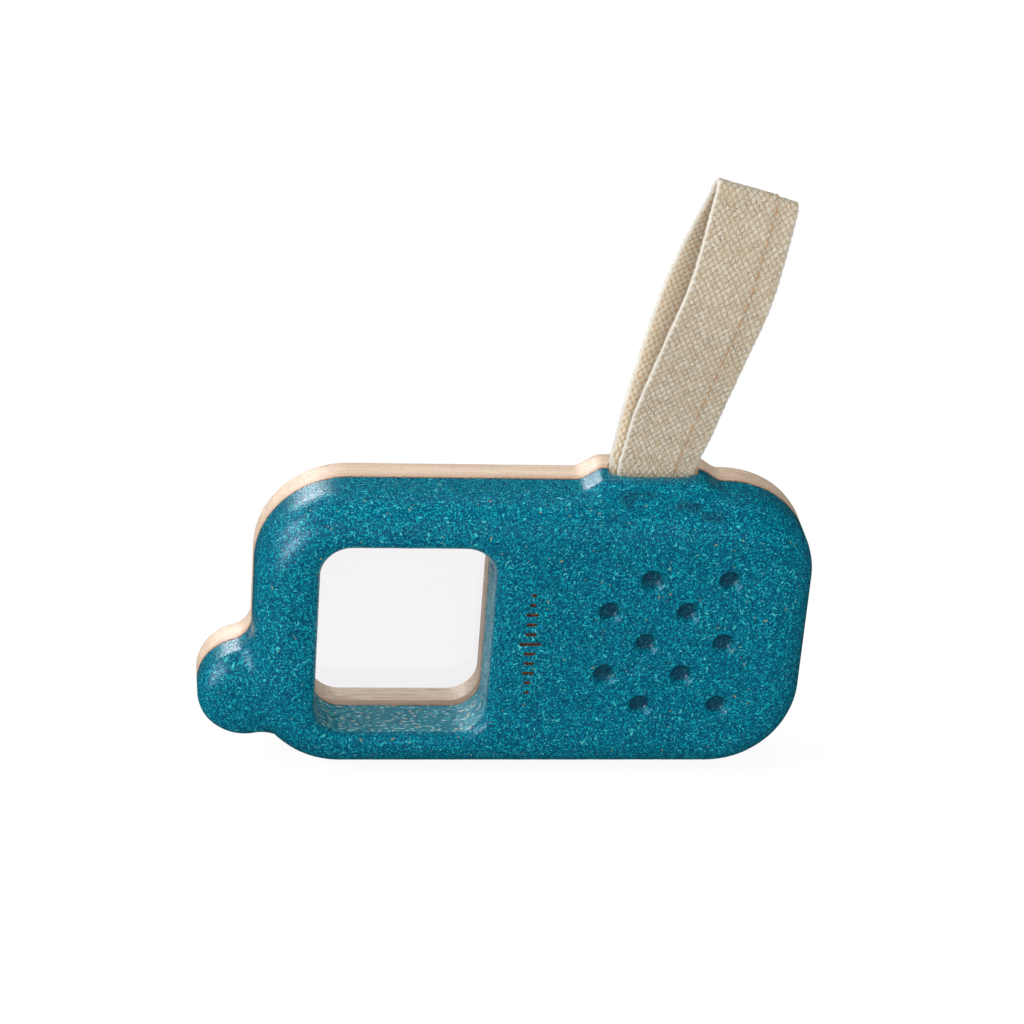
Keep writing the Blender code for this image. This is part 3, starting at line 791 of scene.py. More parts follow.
def wood(name, tone=1.0):
    """Pale close-grained hardwood, grain along X, scorched a little and with painted shade at the joint, and with
    painted light on the window walls.
    """
    n = Nodes(name)
    warp = n.noise(n.coords_mm(scale=(0.02, 0.05, 0.05)), 1.0, 2.0, 0.5)
    ww = n.math("MULTIPLY", n.math("SUBTRACT", warp, 0.5), 7.0)
    comb = n.add("ShaderNodeCombineXYZ")
    n.put(comb.inputs[1], ww)
    n.put(comb.inputs[2], n.math("MULTIPLY", ww, 1.6))
    add = n.add("ShaderNodeVectorMath", operation="ADD")
    n.link(n.coords_mm(scale=(0.028, 1.0, 1.0)), add.inputs[0])
    n.link(comb.outputs[0], add.inputs[1])
    rings = n.noise(add.outputs[0], 0.55, 3.0, 0.62)
    lines = n.noise(add.outputs[0], 2.6, 2.0, 0.6)
    fib = n.noise(n.coords_mm(scale=(0.55, 9.0, 9.0)), 1.0, 2.0, 0.6)
    t = n.math("ADD", n.math("MULTIPLY", rings, 0.5), n.math("MULTIPLY", lines, 0.5))
    col = n.mix(n.step(t, 0.32, 0.68), srgb(212 * tone, 184 * tone, 158 * tone), srgb(238 * tone, 217 * tone, 194 * tone))
    col = n.mix(n.math("MULTIPLY", n.step(fib, 0.5, 0.75), 0.42), col, srgb(190, 150, 116))
    dust = n.noise(n.coords_mm(scale=(1.6, 5.0, 5.0)), 1.0, 2.0, 0.7)
    col = n.mix(n.math("MULTIPLY", n.step(dust, 0.5, 0.3), 0.25), col, srgb(240, 222, 200))
    # pores: short dark dashes along the grain
    d, c = n.voronoi(n.coords_mm(scale=(0.75, 5.2, 5.2)))
    r, g, b = n.rgb(c)
    pore = n.math("MULTIPLY", n.step(d, 0.30, 0.12), n.step(r, 0.55, 0.6))
    col = n.mix(n.math("MULTIPLY", pore, n.math("MULTIPLY_ADD", g, 0.5, 0.25)), col, srgb(140, 100, 70))
    # darker, redder wood next to the glue line, partly scorching and partly painted shade; painted light on the window
    # walls
    geo = n.coords_mm(loc=(-X0, -Y0, -Z0))
    sep = n.add("ShaderNodeSeparateXYZ")
    n.link(geo, sep.inputs[0])
    y = n.math("ADD", sep.outputs[1], n.math("MULTIPLY", n.math("SUBTRACT", n.noise(n.coords_mm(), 1.6, 3.0, 0.6), 0.5), 1.4))
    # painted light: the wood walls inside the window are painted lighter; the brown streaks on them are grain
    inside = n.math("MULTIPLY", n.step(sep.outputs[2], WIN[2] - 1.2, WIN[2] - 0.8), n.step(sep.outputs[2], WIN[3] + 1.2, WIN[3] + 0.8))
    inside = n.math("MULTIPLY", inside, n.math("MULTIPLY", n.step(sep.outputs[0], WIN[0] - 1.2, WIN[0] - 0.8), n.step(sep.outputs[0], WIN[1] + 1.2, WIN[1] + 0.8)))
    nrm = n.add("ShaderNodeSeparateXYZ")
    n.link(n.add("ShaderNodeNewGeometry").outputs["True Normal"], nrm.inputs[0])
    inside = n.math("MULTIPLY", inside, n.step(n.math("ABSOLUTE", nrm.outputs[1]), 0.55, 0.25))
    streak = n.noise(n.coords_mm(scale=(0.16, 3.4, 3.4)), 1.0, 2.0, 0.6)
    col = n.mix(n.math("MULTIPLY", inside, n.math("MULTIPLY_ADD", n.step(streak, 0.35, 0.6), 0.6, 0.2)), col, srgb(250, 230, 208))
    col = n.mix(n.math("MULTIPLY", inside, n.math("MULTIPLY", n.step(streak, 0.46, 0.36), 0.5)), col, srgb(164, 124, 92))
    # partly scorching, partly painted shade: darker and redder towards the glue line
    near = n.step(y, 2.1, 0.1)
    col = n.mix(n.math("MULTIPLY", near, 0.55), col, srgb(190, 142, 106))
    edge = n.step(y, 0.55, 0.05)
    col = n.mix(n.math("MULTIPLY", edge, 0.7), col, srgb(116, 66, 42))
    h = n.math("ADD", n.math("MULTIPLY", fib, 0.6), n.math("MULTIPLY", pore, -0.8))
    rough = n.math("MULTIPLY_ADD", fib, 0.2, 0.44)
    s = n.principled(Base_Color=col, Roughness=rough, Normal=n.bump(h, 0.00005, 0.5))
    return n.done(s.outputs[0])


def glue(name):
    n = Nodes(name)
    a = n.noise(n.coords_mm(), 1.8, 3.0, 0.6)
    col = n.mix(n.step(a, 0.35, 0.7), srgb(64, 32, 22), srgb(122, 70, 44))
    s = n.principled(Base_Color=col, Roughness=0.6, Normal=n.bump(a, 0.00006, 0.5))
    return n.done(s.outputs[0])


def clear(name):
    """Clear sheet: refracts and reflects, lets light through to the wall behind."""
    n = Nodes(name)
    a = n.noise(n.coords_mm(), 0.05, 2.0, 0.5)
    glass = n.add("ShaderNodeBsdfGlass")
    glass.inputs["Roughness"].default_value = 0.0
    n.put(glass.inputs["Color"], n.mix(a, (0.956, 0.948, 0.952), (0.966, 0.958, 0.962)))
    glass.inputs["IOR"].default_value = 1.47
    tr = n.add("ShaderNodeBsdfTransparent")
    tr.inputs["Color"].default_value = (0.95, 0.955, 0.96, 1)
    lp = n.add("ShaderNodeLightPath")
    m = n.add("ShaderNodeMixShader")
    f = n.math("MAXIMUM", lp.outputs["Is Shadow Ray"], lp.outputs["Is Diffuse Ray"])
    n.link(f, m.inputs[0])
    n.link(glass.outputs[0], m.inputs[1])
    n.link(tr.outputs[0], m.inputs[2])
    return n.done(m.outputs[0])


def canvas(name):
    """Undyed cotton canvas: pale floats of the lengthwise yarns in staggered rows, with painted tan shade in the gaps
    between them.
    """
    n = Nodes(name)
    edge = n.add("ShaderNodeAttribute", attribute_name="edge").outputs["Fac"]
    inn = n.add("ShaderNodeAttribute", attribute_name="inner").outputs["Fac"]
    uv = n.add("ShaderNodeUVMap", uv_map="Yarn")
    sep = n.add("ShaderNodeSeparateXYZ")
    n.link(uv.outputs[0], sep.inputs[0])
    u, v = sep.outputs[0], sep.outputs[1]
    p = n.coords_mm()
    wob = n.math("MULTIPLY", n.math("SUBTRACT", n.noise(p, 2.0, 2.0, 0.6), 0.5), 0.9)
    u = n.math("ADD", u, wob)
    # the floats sit on a lattice turned by 45 degrees in yarn coordinates
    ss = n.math("SUBTRACT", n.math("MULTIPLY", n.math("ADD", u, v), 0.5), 0.5)
    tt = n.math("MULTIPLY", n.math("SUBTRACT", u, v), 0.5)
    sr, tr = n.math("ROUND", ss), n.math("ROUND", tt)
    ds, dt = n.math("SUBTRACT", ss, sr), n.math("SUBTRACT", tt, tr)
    du, dv = n.math("ADD", ds, dt), n.math("SUBTRACT", ds, dt)
    au, av = n.math("ABSOLUTE", du), n.math("ABSOLUTE", dv)
    grit = n.math("MULTIPLY", n.math("SUBTRACT", n.noise(p, 3.2, 2.0, 0.7), 0.5), 2.3)
    e = n.math("ADD", n.math("POWER", n.math("DIVIDE", au, 0.60), 2.2), n.math("POWER", n.math("DIVIDE", av, 0.68), 2.2))
    top = n.math("MAXIMUM", n.step(n.math("ADD", e, grit), 1.30, 0.70), edge)
    # the crosswise yarn shows as a small float between the knots
    q1 = n.math("ADD", n.math("POWER", n.math("DIVIDE", n.math("SUBTRACT", 1.0, au), 0.46), 2.0), n.math("POWER", n.math("DIVIDE", dv, 0.30), 2.0))
    q2 = n.math("ADD", n.math("POWER", n.math("DIVIDE", du, 0.46), 2.0), n.math("POWER", n.math("DIVIDE", n.math("SUBTRACT", 1.0, av), 0.30), 2.0))
    cross = n.step(n.math("ADD", n.math("MINIMUM", q1, q2), grit), 1.2, 0.5)
    comb = n.add("ShaderNodeCombineXYZ")
    n.link(sr, comb.inputs[0])
    n.link(tr, comb.inputs[1])
    wn = n.add("ShaderNodeTexWhiteNoise", noise_dimensions="3D")
    n.link(comb.outputs[0], wn.inputs["Vector"])
    r, g, b = n.rgb(wn.outputs["Color"])
    # two or three strands twist round each yarn
    tw = n.math("SINE", n.math("ADD", n.math("MULTIPLY", dv, 7.5), n.math("MULTIPLY", du, 11.0)))
    strand = n.step(tw, -0.9, -0.35)
    glint_speck = n.noise(p, 4.6, 2.0, 0.65)
    col = n.mix(r, srgb(208, 200, 180), srgb(229, 223, 206))
    col = n.mix(n.math("MULTIPLY", n.step(g, 0.72, 0.95), 0.45), col, srgb(204, 182, 148))
    col = n.mix(n.math("MULTIPLY", n.math("SUBTRACT", 1.0, strand), 0.50), col, srgb(166, 144, 112))
    # painted highlights: pale specks over the yarns
    col = n.mix(n.math("MULTIPLY", n.step(glint_speck, 0.52, 0.8), 0.35), col, srgb(228, 222, 206))
    blot = n.noise(p, 0.35, 2.0, 0.5)
    col = n.mix(n.math("MULTIPLY", n.step(blot, 0.45, 0.75), 0.16), col, srgb(196, 172, 136))
    # painted shade: tan-brown in the deep crevices between the floats
    gap = n.mix(b, srgb(132, 98, 66), srgb(198, 164, 122))
    gap = n.mix(n.math("MULTIPLY", cross, 0.8), gap, srgb(200, 188, 162))
    # painted light: warm glow in the gaps of the inner face, as if lit through the cloth from behind
    gap = n.mix(n.math("MULTIPLY", inn, n.mixf(cross, 0.7, 0.3)), gap, srgb(204, 160, 116))
    col = n.mix(top, gap, col)
    # fine dark nicks and pale fibre ends
    nick = n.step(n.noise(p, 6.5, 2.0, 0.7), 0.56, 0.70)
    lint = n.step(n.noise(n.coords_mm((31, 7, 3)), 6.0, 2.0, 0.7), 0.56, 0.70)
    col = n.mix(n.math("MULTIPLY", nick, n.mixf(inn, 0.42, 0.10)), col, srgb(132, 116, 84))
    col = n.mix(n.math("MULTIPLY", lint, 0.55), col, srgb(232, 226, 210))
    # painted light: the inner face of the tape is painted lighter
    col = n.mix(n.math("MULTIPLY", inn, 0.55), col, n.mix(top, srgb(230, 196, 152), srgb(250, 240, 218)))
    # painted highlight: the rounded selvedges are painted pale
    col = n.mix(n.math("MULTIPLY", edge, 0.6), col, srgb(238, 235, 226))
    h = n.math("ADD", n.math("MULTIPLY", n.math("MAXIMUM", top, n.math("MULTIPLY", cross, 0.7)), 1.2), n.math("MULTIPLY", strand, 0.25))
    h = n.math("ADD", h, n.math("MULTIPLY", glint_speck, 0.7))
    s = n.principled(Base_Color=col, Roughness=0.92, Normal=n.bump(h, 0.00008, 0.55))
    s.inputs["Specular IOR Level"].default_value = 0.12
    s.inputs["Sheen Weight"].default_value = 0.15
    s.inputs["Sheen Roughness"].default_value = 0.5
    tl = n.add("ShaderNodeBsdfTranslucent")
    n.put(tl.inputs["Color"], n.mix(0.5, col, srgb(226, 180, 120)))
    m = n.add("ShaderNodeMixShader")
    m.inputs[0].default_value = 0.12
    n.link(s.outputs[0], m.inputs[1])
    n.link(tl.outputs[0], m.inputs[2])
    return n.done(m.outputs[0])


def thread(name):
    n = Nodes(name)
    p = n.coords_mm()
    a = n.noise(p, 5.0, 2.0, 0.6)
    w = n.add("ShaderNodeTexWave", wave_type="BANDS", bands_direction="DIAGONAL")
    n.link(p, w.inputs["Vector"])
    w.inputs["Scale"].default_value = 2.2
    col = n.mix(n.step(a, 0.3, 0.7), srgb(176, 122, 74), srgb(206, 164, 116))
    h = n.math("ADD", w.outputs["Fac"], n.math("MULTIPLY", a, 0.5))
    s = n.principled(Base_Color=col, Roughness=0.8, Normal=n.bump(h, 0.00004, 0.7))
    return n.done(s.outputs[0])


MAT_FACE = composite("pressed_composite_face")
MAT_CUT = composite("pressed_composite_milled", cut_face=True)
MAT_BURNT = burnt("scorched_groove")
MAT_WOOD = wood("pale_hardwood")
MAT_DOWEL = wood("dowel_hardwood", 0.97)
MAT_GLUE = glue("dried_glue")
MAT_CLEAR = clear("clear_sheet")
MAT_CANVAS = canvas("cotton_canvas")
MAT_THREAD = thread("cotton_thread")

# ------------------------------------------------------------ rigid pieces
dense_front = [(-10.0, 9.5, 1.0, 30.0, 0.42), (51.0, 88.0, 46.0, 58.0, 0.42)]
front = plate("front_shell", -1, front_height, SIDE, PAD_R, RIM, 0.12,
              [MAT_FACE, MAT_CUT, MAT_BURNT, MAT_CUT], 1, bars=True, dense=dense_front)

BACK_R = 2.7


def back_height(p, d_all):
    h = (BACK_T - BACK_R) + BACK_R * quarter(d_all, BACK_R)
    dw = np.clip(-sd_rect(p, *WIN), 0, 0.7)
    h -= 0.7 - np.sqrt(np.maximum(0, 0.49 - (0.7 - dw) ** 2))
    return h


back = plate("back_board", 1, back_height, BACK_T - BACK_R, BACK_R * 2.6, 0.7, 0.12,
             [MAT_WOOD, MAT_WOOD], 1, dense=[(51.0, 88.0, 50.0, 58.0, 0.42)])

def paint_shade_marks(ob):
    """Painted shade: darker in the dimples, centred towards the upper left of each on its shaded wall, and in patches
    below the strap's boss.
    """
    co = np.empty(len(ob.data.vertices) * 3, np.float32)
    ob.data.vertices.foreach_get("co", co)
    co = co.reshape(-1, 3) * 1000.0 - OFFSET
    painted_shade = np.zeros(len(co))
    for cx, cz in dimple_centres():
        rho = np.hypot(co[:, 0] - cx + 0.30, co[:, 2] - cz - 0.26)
        painted_shade = np.maximum(painted_shade, smoothstep(2.0, 1.45, rho) * (co[:, 1] < -4))
    # painted shade: darker patches on the front below the strap's boss
    q = np.stack([co[:, 0] / 2.4, co[:, 2] / 1.5, np.zeros(len(co))], 1)
    near = smoothstep(57.5, 60.5, co[:, 0]) * smoothstep(84.0, 80.5, co[:, 0]) * smoothstep(50.5, 52.0, co[:, 2]) * smoothstep(56.4, 55.0, co[:, 2])
    painted_shade = np.maximum(painted_shade, near * (co[:, 1] < -3) * smoothstep(0.05, 0.75, noise3(q, 71)) * 0.75)
    att = ob.data.attributes.new("painted_shade", "FLOAT", "POINT")
    att.data.foreach_set("value", painted_shade.astype(np.float32))


slot_f = slot_cutter([MAT_FACE, MAT_CUT, MAT_BURNT, MAT_CUT])
slot_b = slot_cutter([MAT_WOOD, MAT_WOOD])
room_f = box_cutter("cutter_room_f", CHAMBER, [MAT_FACE, MAT_CUT, MAT_BURNT, MAT_CUT])
room_b = box_cutter("cutter_room_b", CHAMBER, [MAT_WOOD, MAT_WOOD])
reb = rect_loop(2.9, 0.8)
rv = [(x, -1.0, z) for x, z in reb] + [(x, 2.62, z) for x, z in reb]
m_ = len(reb)
rf = [(i, (i + 1) % m_, m_ + (i + 1) % m_, m_ + i) for i in range(m_)] + [tuple(range(m_)), tuple(range(m_, 2 * m_))]
rebate = make_object("cutter_rebate", rv, rf, [MAT_WOOD, MAT_WOOD], [1] * len(rf))
cut(front, [slot_f, room_f])
cut(back, [slot_b, room_b, rebate])

# glue line: a thin plate whose rim wanders a little in and out of the joint
wob = noise3(np.c_[OUTLINE / 1.7, np.zeros(len(OUTLINE))], 21) * 0.05 - 0.03
g_out = OUTLINE - OUT_N * wob[:, None]
win0 = rect_loop(0.0)
wob = noise3(np.c_[win0 / 1.7, np.zeros(len(win0))], 22) * 0.05 - 0.03
g_win = win0 + inward(win0) * wob[:, None]
loop2 = np.vstack([g_out, g_win])
gv, gt, gsrc = triangulate(loop2, [(0, len(g_out)), (len(g_out), len(g_win))])
cen = np.array([(gv[a] + gv[b] + gv[c]) / 3 for a, b, c in gt])
good = (sd_poly(cen, g_out) > 0) & (sd_poly(cen, g_win) < 0)
gt = [t for t, k in zip(gt, good) if k]
where = {i: k for k, s in enumerate(gsrc) for i in s}
nv = len(gv)
gverts = [(x, -0.14, z) for x, z in gv] + [(x, 0.14, z) for x, z in gv]
gfaces = list(gt) + [(c + nv, b + nv, a + nv) for a, b, c in gt]
for start, cnt in ((0, len(g_out)), (len(g_out), len(g_win))):
    ids = [where[start + i] for i in range(cnt)]
    gfaces += [(ids[i], ids[(i + 1) % cnt], ids[(i + 1) % cnt] + nv, ids[i] + nv) for i in range(cnt)]
film = make_object("glue_line", gverts, gfaces, [MAT_GLUE])
slot_g = slot_cutter([MAT_GLUE], 0.05, 2.0)
room_g = box_cutter("cutter_room_g", CHAMBER, [MAT_GLUE])
cut(film, [slot_g, room_g])
paint_shade_marks(front)
for c in (slot_f, slot_b, room_f, room_b, rebate, slot_g, room_g):
    bpy.data.objects.remove(c, do_unlink=True)

# ------------------------------------------------------------ strap
WARPS = 24
TAPE_W, TAPE_T = 15.0, 1.2


def loop_centre(side, t):
    z = HINGE_Z + 0.2 + t * (LOOP_TOP_Z - HINGE_Z - 0.2)
    dz = z - 60.0
    u = max(0.0, min(1.0, dz / 49.0))
    x = LOOP_X + LOOP_LEAN * dz - 0.26 * math.sin(2 * math.pi * u)
    x += (SHIFT_FRONT if side < 0 else SHIFT_BACK) * (1 - u)
    bow = math.sin(math.pi * t ** 1.49) ** 1.28 if 0 < t < 1 else 0.0
    base = LEG_Y + (FOLD_R - LEG_Y) * t
    return (x, side * (base + (LOOP_FRONT if side < 0 else LOOP_BACK) * bow), z)


def strap_path():
    """Closed centre line of the tape, and its sideways lean, evenly resampled."""
    lean0 = math.atan(LOOP_LEAN)
    rows = []                                        # x, y, z, lean

    def legs(side, ts):
        for t in ts:
            a, b = loop_centre(side, max(0, t - 0.01)), loop_centre(side, min(1, t + 0.01))
            rows.append((*loop_centre(side, t), math.atan2(b[0] - a[0], b[2] - a[2])))

    legs(-1, np.linspace(0, 1, 60)[:-1])
    top = [(a + b) / 2 for a, b in zip(loop_centre(-1, 1), loop_centre(1, 1))]
    for k in range(13):
        a = math.pi * k / 12
        rows.append((top[0] + math.sin(lean0) * FOLD_R * math.sin(a), -FOLD_R * math.cos(a),
                     top[2] + math.cos(lean0) * FOLD_R * math.sin(a), lean0))
    legs(1, np.linspace(1, 0, 60)[1:])
    wrap = DOWEL_R + 0.15 + 0.65
    ends = {}
    for side in (1, -1):
        x, y, z = loop_centre(side, 0)
        goal = 69.4 if side > 0 else 70.6
        tail = []
        for k in range(1, 9):
            zz = z + (50.4 - z) * k / 8
            f = min(1.0, (z - zz) / 4.0)
            xx = x - LOOP_LEAN * (z - zz) * (1 - f) * 0.5
            xx = xx * (1 - f) + goal * f
            tail.append((xx, side * LEG_Y, zz, math.atan(LOOP_LEAN) * (1 - f)))
        for k in range(1, 6):
            s = 0.5 - 0.5 * math.cos(math.pi * k / 5)
            tail.append((goal + (TAPE_X - goal) * k / 5, side * (LEG_Y + (wrap - LEG_Y) * s), 50.4 - 4.0 * k / 5, 0.0))
        ends[side] = tail
    rows += ends[1]
    for k in range(1, 12):
        a = math.pi * k / 12
        rows.append((TAPE_X, wrap * math.cos(a), DOWEL_Z - wrap * math.sin(a), 0.0))
    rows += ends[-1][::-1]
    r = np.array(rows)
    return r


def even_closed(r, count, smooth):
    q = np.vstack([r, r[:1]])
    s = np.concatenate([[0], np.cumsum(np.linalg.norm(q[1:, :3] - q[:-1, :3], axis=1))])
    t = np.arange(count) * s[-1] / count
    out = np.stack([np.interp(t, s, q[:, k]) for k in range(q.shape[1])], 1)
    k = np.exp(-0.5 * (np.arange(-3 * smooth, 3 * smooth + 1) / smooth) ** 2)
    k /= k.sum()
    pad = len(k) // 2
    out = np.stack([np.convolve(np.concatenate([c[-pad:], c, c[:pad]]), k, "valid") for c in out.T], 1)
    return out, s[-1]


def pinch(z):
    """The tape gathers a little where it enters the slot."""
    return 1 - 0.085 * smoothstep(68.0, 58.5, z)


def build_strap():
    raw = strap_path()
    _, total = even_closed(raw, 900, 2)
    wefts = int(round(total / 0.72 / 2)) * 2
    per = 3
    ns = wefts * per
    path, total = even_closed(raw, ns, 3)
    path = np.roll(path, -int(path[:, 2].argmin()), 0)       # the ring closes out of sight, under the dowel
    c, lean = path[:, :3], path[:, 3]
    T = np.roll(c, -1, 0) - np.roll(c, 1, 0)
    T /= np.linalg.norm(T, axis=1)[:, None]
    A = np.stack([np.cos(lean), 0 * lean, -np.sin(lean)], 1)
    A -= T * (A * T).sum(1)[:, None]
    A /= np.linalg.norm(A, axis=1)[:, None]
    N = np.cross(A, T)
    # cross-section: outer face, right edge, inner face, left edge
    hw, ht, er = TAPE_W / 2, TAPE_T / 2, 0.34
    cols = WARPS * 3
    u_face = (np.arange(cols) + 0.5) / 3
    a_face = -hw + er + (2 * hw - 2 * er) * u_face / WARPS
    sec = [(a, 1, u, 0.0) for a, u in zip(a_face, u_face)]                 # a, side, u, edge angle
    sec += [(hw - er, 0, WARPS, ang) for ang in (60, 0, -60)]
    sec += [(a, -1, u, 0.0) for a, u in zip(a_face[::-1], u_face[::-1])]
    sec += [(-hw + er, 0, 0, 180 + ang) for ang in (60, 0, -60)]
    a = np.array([s[0] for s in sec])
    side = np.array([s[1] for s in sec])
    u = np.array([s[2] for s in sec], float)
    ang = np.radians([s[3] for s in sec])
    v = (np.arange(ns) + 0.5) / per
    s_mm = np.arange(ns) * total / ns
    # yarns wander a little, so the weave isn't a perfect grid
    q = np.stack([np.repeat(s_mm[:, None], len(sec), 1).ravel() / 3.0,
                  np.repeat(a[None], ns, 0).ravel() / 3.0, np.repeat(side[None] * 7.0, ns, 0).ravel()], 1)
    U, V = np.meshgrid(u, v)
    U = U + 0.22 * noise3(q, 51).reshape(U.shape)
    V = V + 0.26 * noise3(q, 52).reshape(U.shape)
    # long floats of the lengthwise yarns stand up in staggered rows, the crosswise yarn lies between
    par = np.where(side < 0, 1, 0)[None, :]
    crown = np.full(U.shape, -1.0)
    between = np.full(U.shape, -1.0)
    cell_id = np.zeros(U.shape)
    i0, j0 = np.floor(U), np.floor(V)
    for di in (-1, 0, 1):
        for dj in (-1, 0, 1):
            i, j = i0 + di, j0 + dj
            on = ((i + j + par) % 2) == 0
            du, dv = U - i - 0.5, V - j - 0.5
            e = 1 - (du / 0.66) ** 2 - (dv / 0.74) ** 2
            between = np.maximum(between, np.where(on, -1.0, 1 - (du / 0.62) ** 2 - (dv / 0.50) ** 2))
            e = np.where(on, e, -1.0)
            hit = e > crown
            cell_id = np.where(hit, i * 3.7 + j * 11.3, cell_id)
            crown = np.maximum(crown, e)
    dome = np.sqrt(np.maximum(crown, 0))
    lift = noise3(np.stack([cell_id.ravel() * 1.37, cell_id.ravel() * 0.73, np.zeros(cell_id.size)], 1), 53).reshape(U.shape)
    weft = 0.04 + 0.13 * np.sqrt(np.maximum(between, 0))
    H = np.maximum(0.05 + (0.18 + 0.06 * lift) * dome, weft)
    P = c[:, None, :] + np.zeros((ns, len(sec), 3))
    q = np.stack([np.repeat(s_mm[:, None], len(sec), 1).ravel() / 5.0,
                  np.repeat(a[None], ns, 0).ravel() / 5.0, np.zeros(ns * len(sec))], 1)
    soft = noise3(q, 31).reshape(ns, len(sec)) * 0.12
    q2 = np.stack([np.repeat(s_mm[:, None], len(sec), 1).ravel() / 0.72,
                   np.repeat(a[None], ns, 0).ravel() / 0.62, np.zeros(ns * len(sec))], 1)
    uneven = 1 + 0.15 * noise3(q2, 33).reshape(ns, len(sec))
    # ply step right of the hem seam, and the groove the seam pulls into the cloth
    step = -0.26 * smoothstep(HEM - 0.05, HEM + 0.45, a)
    groove = -0.13 * np.exp(-((a - HEM) / 0.32) ** 2)
    outer = side > 0
    off_n = np.where(side[None, :] != 0, side[None, :] * (ht - 0.16 + H * uneven), 0.0)
    off_n = off_n + np.where(outer[None, :], (step + groove)[None, :], 0.0) + soft * 0.5
    edge = side == 0
    bead = 0.13 * np.abs(np.sin(np.pi * V * 0.5))
    reach = (er + bead) * uneven
    off_a = np.where(edge[None, :], np.cos(ang)[None, :] * reach, 0.0)
    rim_h = ht - 0.05 + np.where(a[None, :] > 0, -0.1, 0.0)
    off_n = np.where(edge[None, :], np.sin(ang)[None, :] * (rim_h * 0.9) + np.where(a[None, :] > 0, -0.12, 0.0) + soft * 0.5, off_n)
    sway = noise3(np.c_[s_mm / 9.0, np.zeros((ns, 2))], 35)[:, None] * 0.12
    P += A[:, None, :] * (a[None, :, None] * pinch(c[:, 2])[:, None, None] + off_a[..., None] + sway[..., None])
    P += N[:, None, :] * off_n[..., None]
    verts = P.reshape(-1, 3)
    m = len(sec)
    idx = np.arange(ns * m).reshape(ns, m)
    nxt, rgt = np.roll(idx, -1, 0), np.roll(idx, -1, 1)
    dia = np.roll(nxt, -1, 1)
    faces = np.stack([idx, rgt, dia, nxt], -1).reshape(-1, 4)
    ob = make_object("wrist_strap", verts, faces.tolist(), [MAT_CANVAS], sharp=0)
    me = ob.data
    att = me.attributes.new("edge", "FLOAT", "POINT")
    att.data.foreach_set("value", np.repeat(edge.astype(np.float32)[None], ns, 0).ravel())
    att = me.attributes.new("inner", "FLOAT", "POINT")
    att.data.foreach_set("value", np.repeat((side < 0).astype(np.float32)[None], ns, 0).ravel())
    # yarn coordinates, so that colour and fine relief follow every single yarn
    uvm = me.uv_layers.new(name="Yarn")
    li = np.zeros(len(me.loops), np.int32)
    me.loops.foreach_get("vertex_index", li)
    uvv = np.stack([(U + par).ravel(), V.ravel()], 1)[li]
    # the last row of faces joins the ring's end to its start
    rows = np.repeat(np.repeat(np.arange(ns), m), 4)
    first = li // m == 0
    uvv[(rows == ns - 1) & first, 1] += wefts
    uvm.data.foreach_set("uv", uvv.astype(np.float32).ravel())
    return ob, (c, A, N, s_mm, total)


HEM = 3.45
strap, (sc_, sA, sN, s_mm, s_total) = build_strap()


def build_stitches():
    """Hem seam: a thread that rises over the cloth and dives through it."""
    pitch, r = 2.9, 0.12
    z = sc_[:, 2]
    sel = np.where(z > 57.6)[0]
    # the visible stretch is one run of the closed path
    brk = np.where(np.diff(sel) > 1)[0]
    order = np.concatenate([sel[brk[0] + 1:], sel[:brk[0] + 1]]) if len(brk) else sel
    cc, aa, nn = sc_[order], sA[order], sN[order]
    d = np.concatenate([[0], np.cumsum(np.linalg.norm(np.diff(cc, axis=0), axis=1))])
    ts = np.arange(0, d[-1], 0.12)
    f = lambda arr: np.stack([np.interp(ts, d, arr[:, k]) for k in range(3)], 1)
    c, A, N = f(cc), f(aa), f(nn)
    ph = (ts / pitch) % 1.0
    tight = 0.5 + 0.5 * noise3(np.c_[np.floor(ts / pitch) * 1.37, np.zeros((len(ts), 2))], 43)     # some are pulled in
    lift = np.where(ph < 0.6, (0.01 + 0.15 * tight) * np.maximum(np.sin(np.pi * ph / 0.6), 0) ** 0.6 - 0.05,
                    -0.05 - 0.52 * np.abs(np.sin(np.pi * (ph - 0.6) / 0.4)) ** 0.4)
    wander = 0.10 * noise3(np.c_[ts / 2.3, np.zeros((len(ts), 2))], 41)
    ctr = c + A * (HEM * pinch(c[:, 2]) + wander)[:, None] + N * (TAPE_T / 2 - 0.1 + lift)[:, None]
    T = np.gradient(ctr, axis=0)
    T /= np.linalg.norm(T, axis=1)[:, None]
    U = A - T * (A * T).sum(1)[:, None]
    U /= np.linalg.norm(U, axis=1)[:, None]
    V = np.cross(T, U)
    k = 8
    rings = [ctr + (U * math.cos(2 * math.pi * q / k) + V * math.sin(2 * math.pi * q / k)) * r for q in range(k)]
    verts = np.stack(rings, 1).reshape(-1, 3)
    n = len(ctr)
    faces = [(a * k + b, a * k + (b + 1) % k, (a + 1) * k + (b + 1) % k, (a + 1) * k + b)
             for a in range(n - 1) for b in range(k)]
    faces += [tuple(range(k)), tuple(range((n - 1) * k, n * k))]
    return make_object("hem_stitches", verts, faces, [MAT_THREAD], sharp=0)


stitches = build_stitches()

# ------------------------------------------------------------ ride and replace
for ob, node, slot in ((front, "front_panel", "teal_composite"), (back, "back_plate", "pale_wood"),
                       (film, "bond_film", "glue_line")):
    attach(ob, "body")
    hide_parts(node)

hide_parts("strap_loop", "strap_tails")
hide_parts("hem_thread")
for ob in (strap, stitches):
    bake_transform(ob)

for node, mat in (("window_pane", MAT_CLEAR), ("strap_anchor_dowel", MAT_DOWEL), ("closure_thread", MAT_THREAD)):
    me = frame["nodes"][node].data
    me.materials.clear()
    me.materials.append(mat)

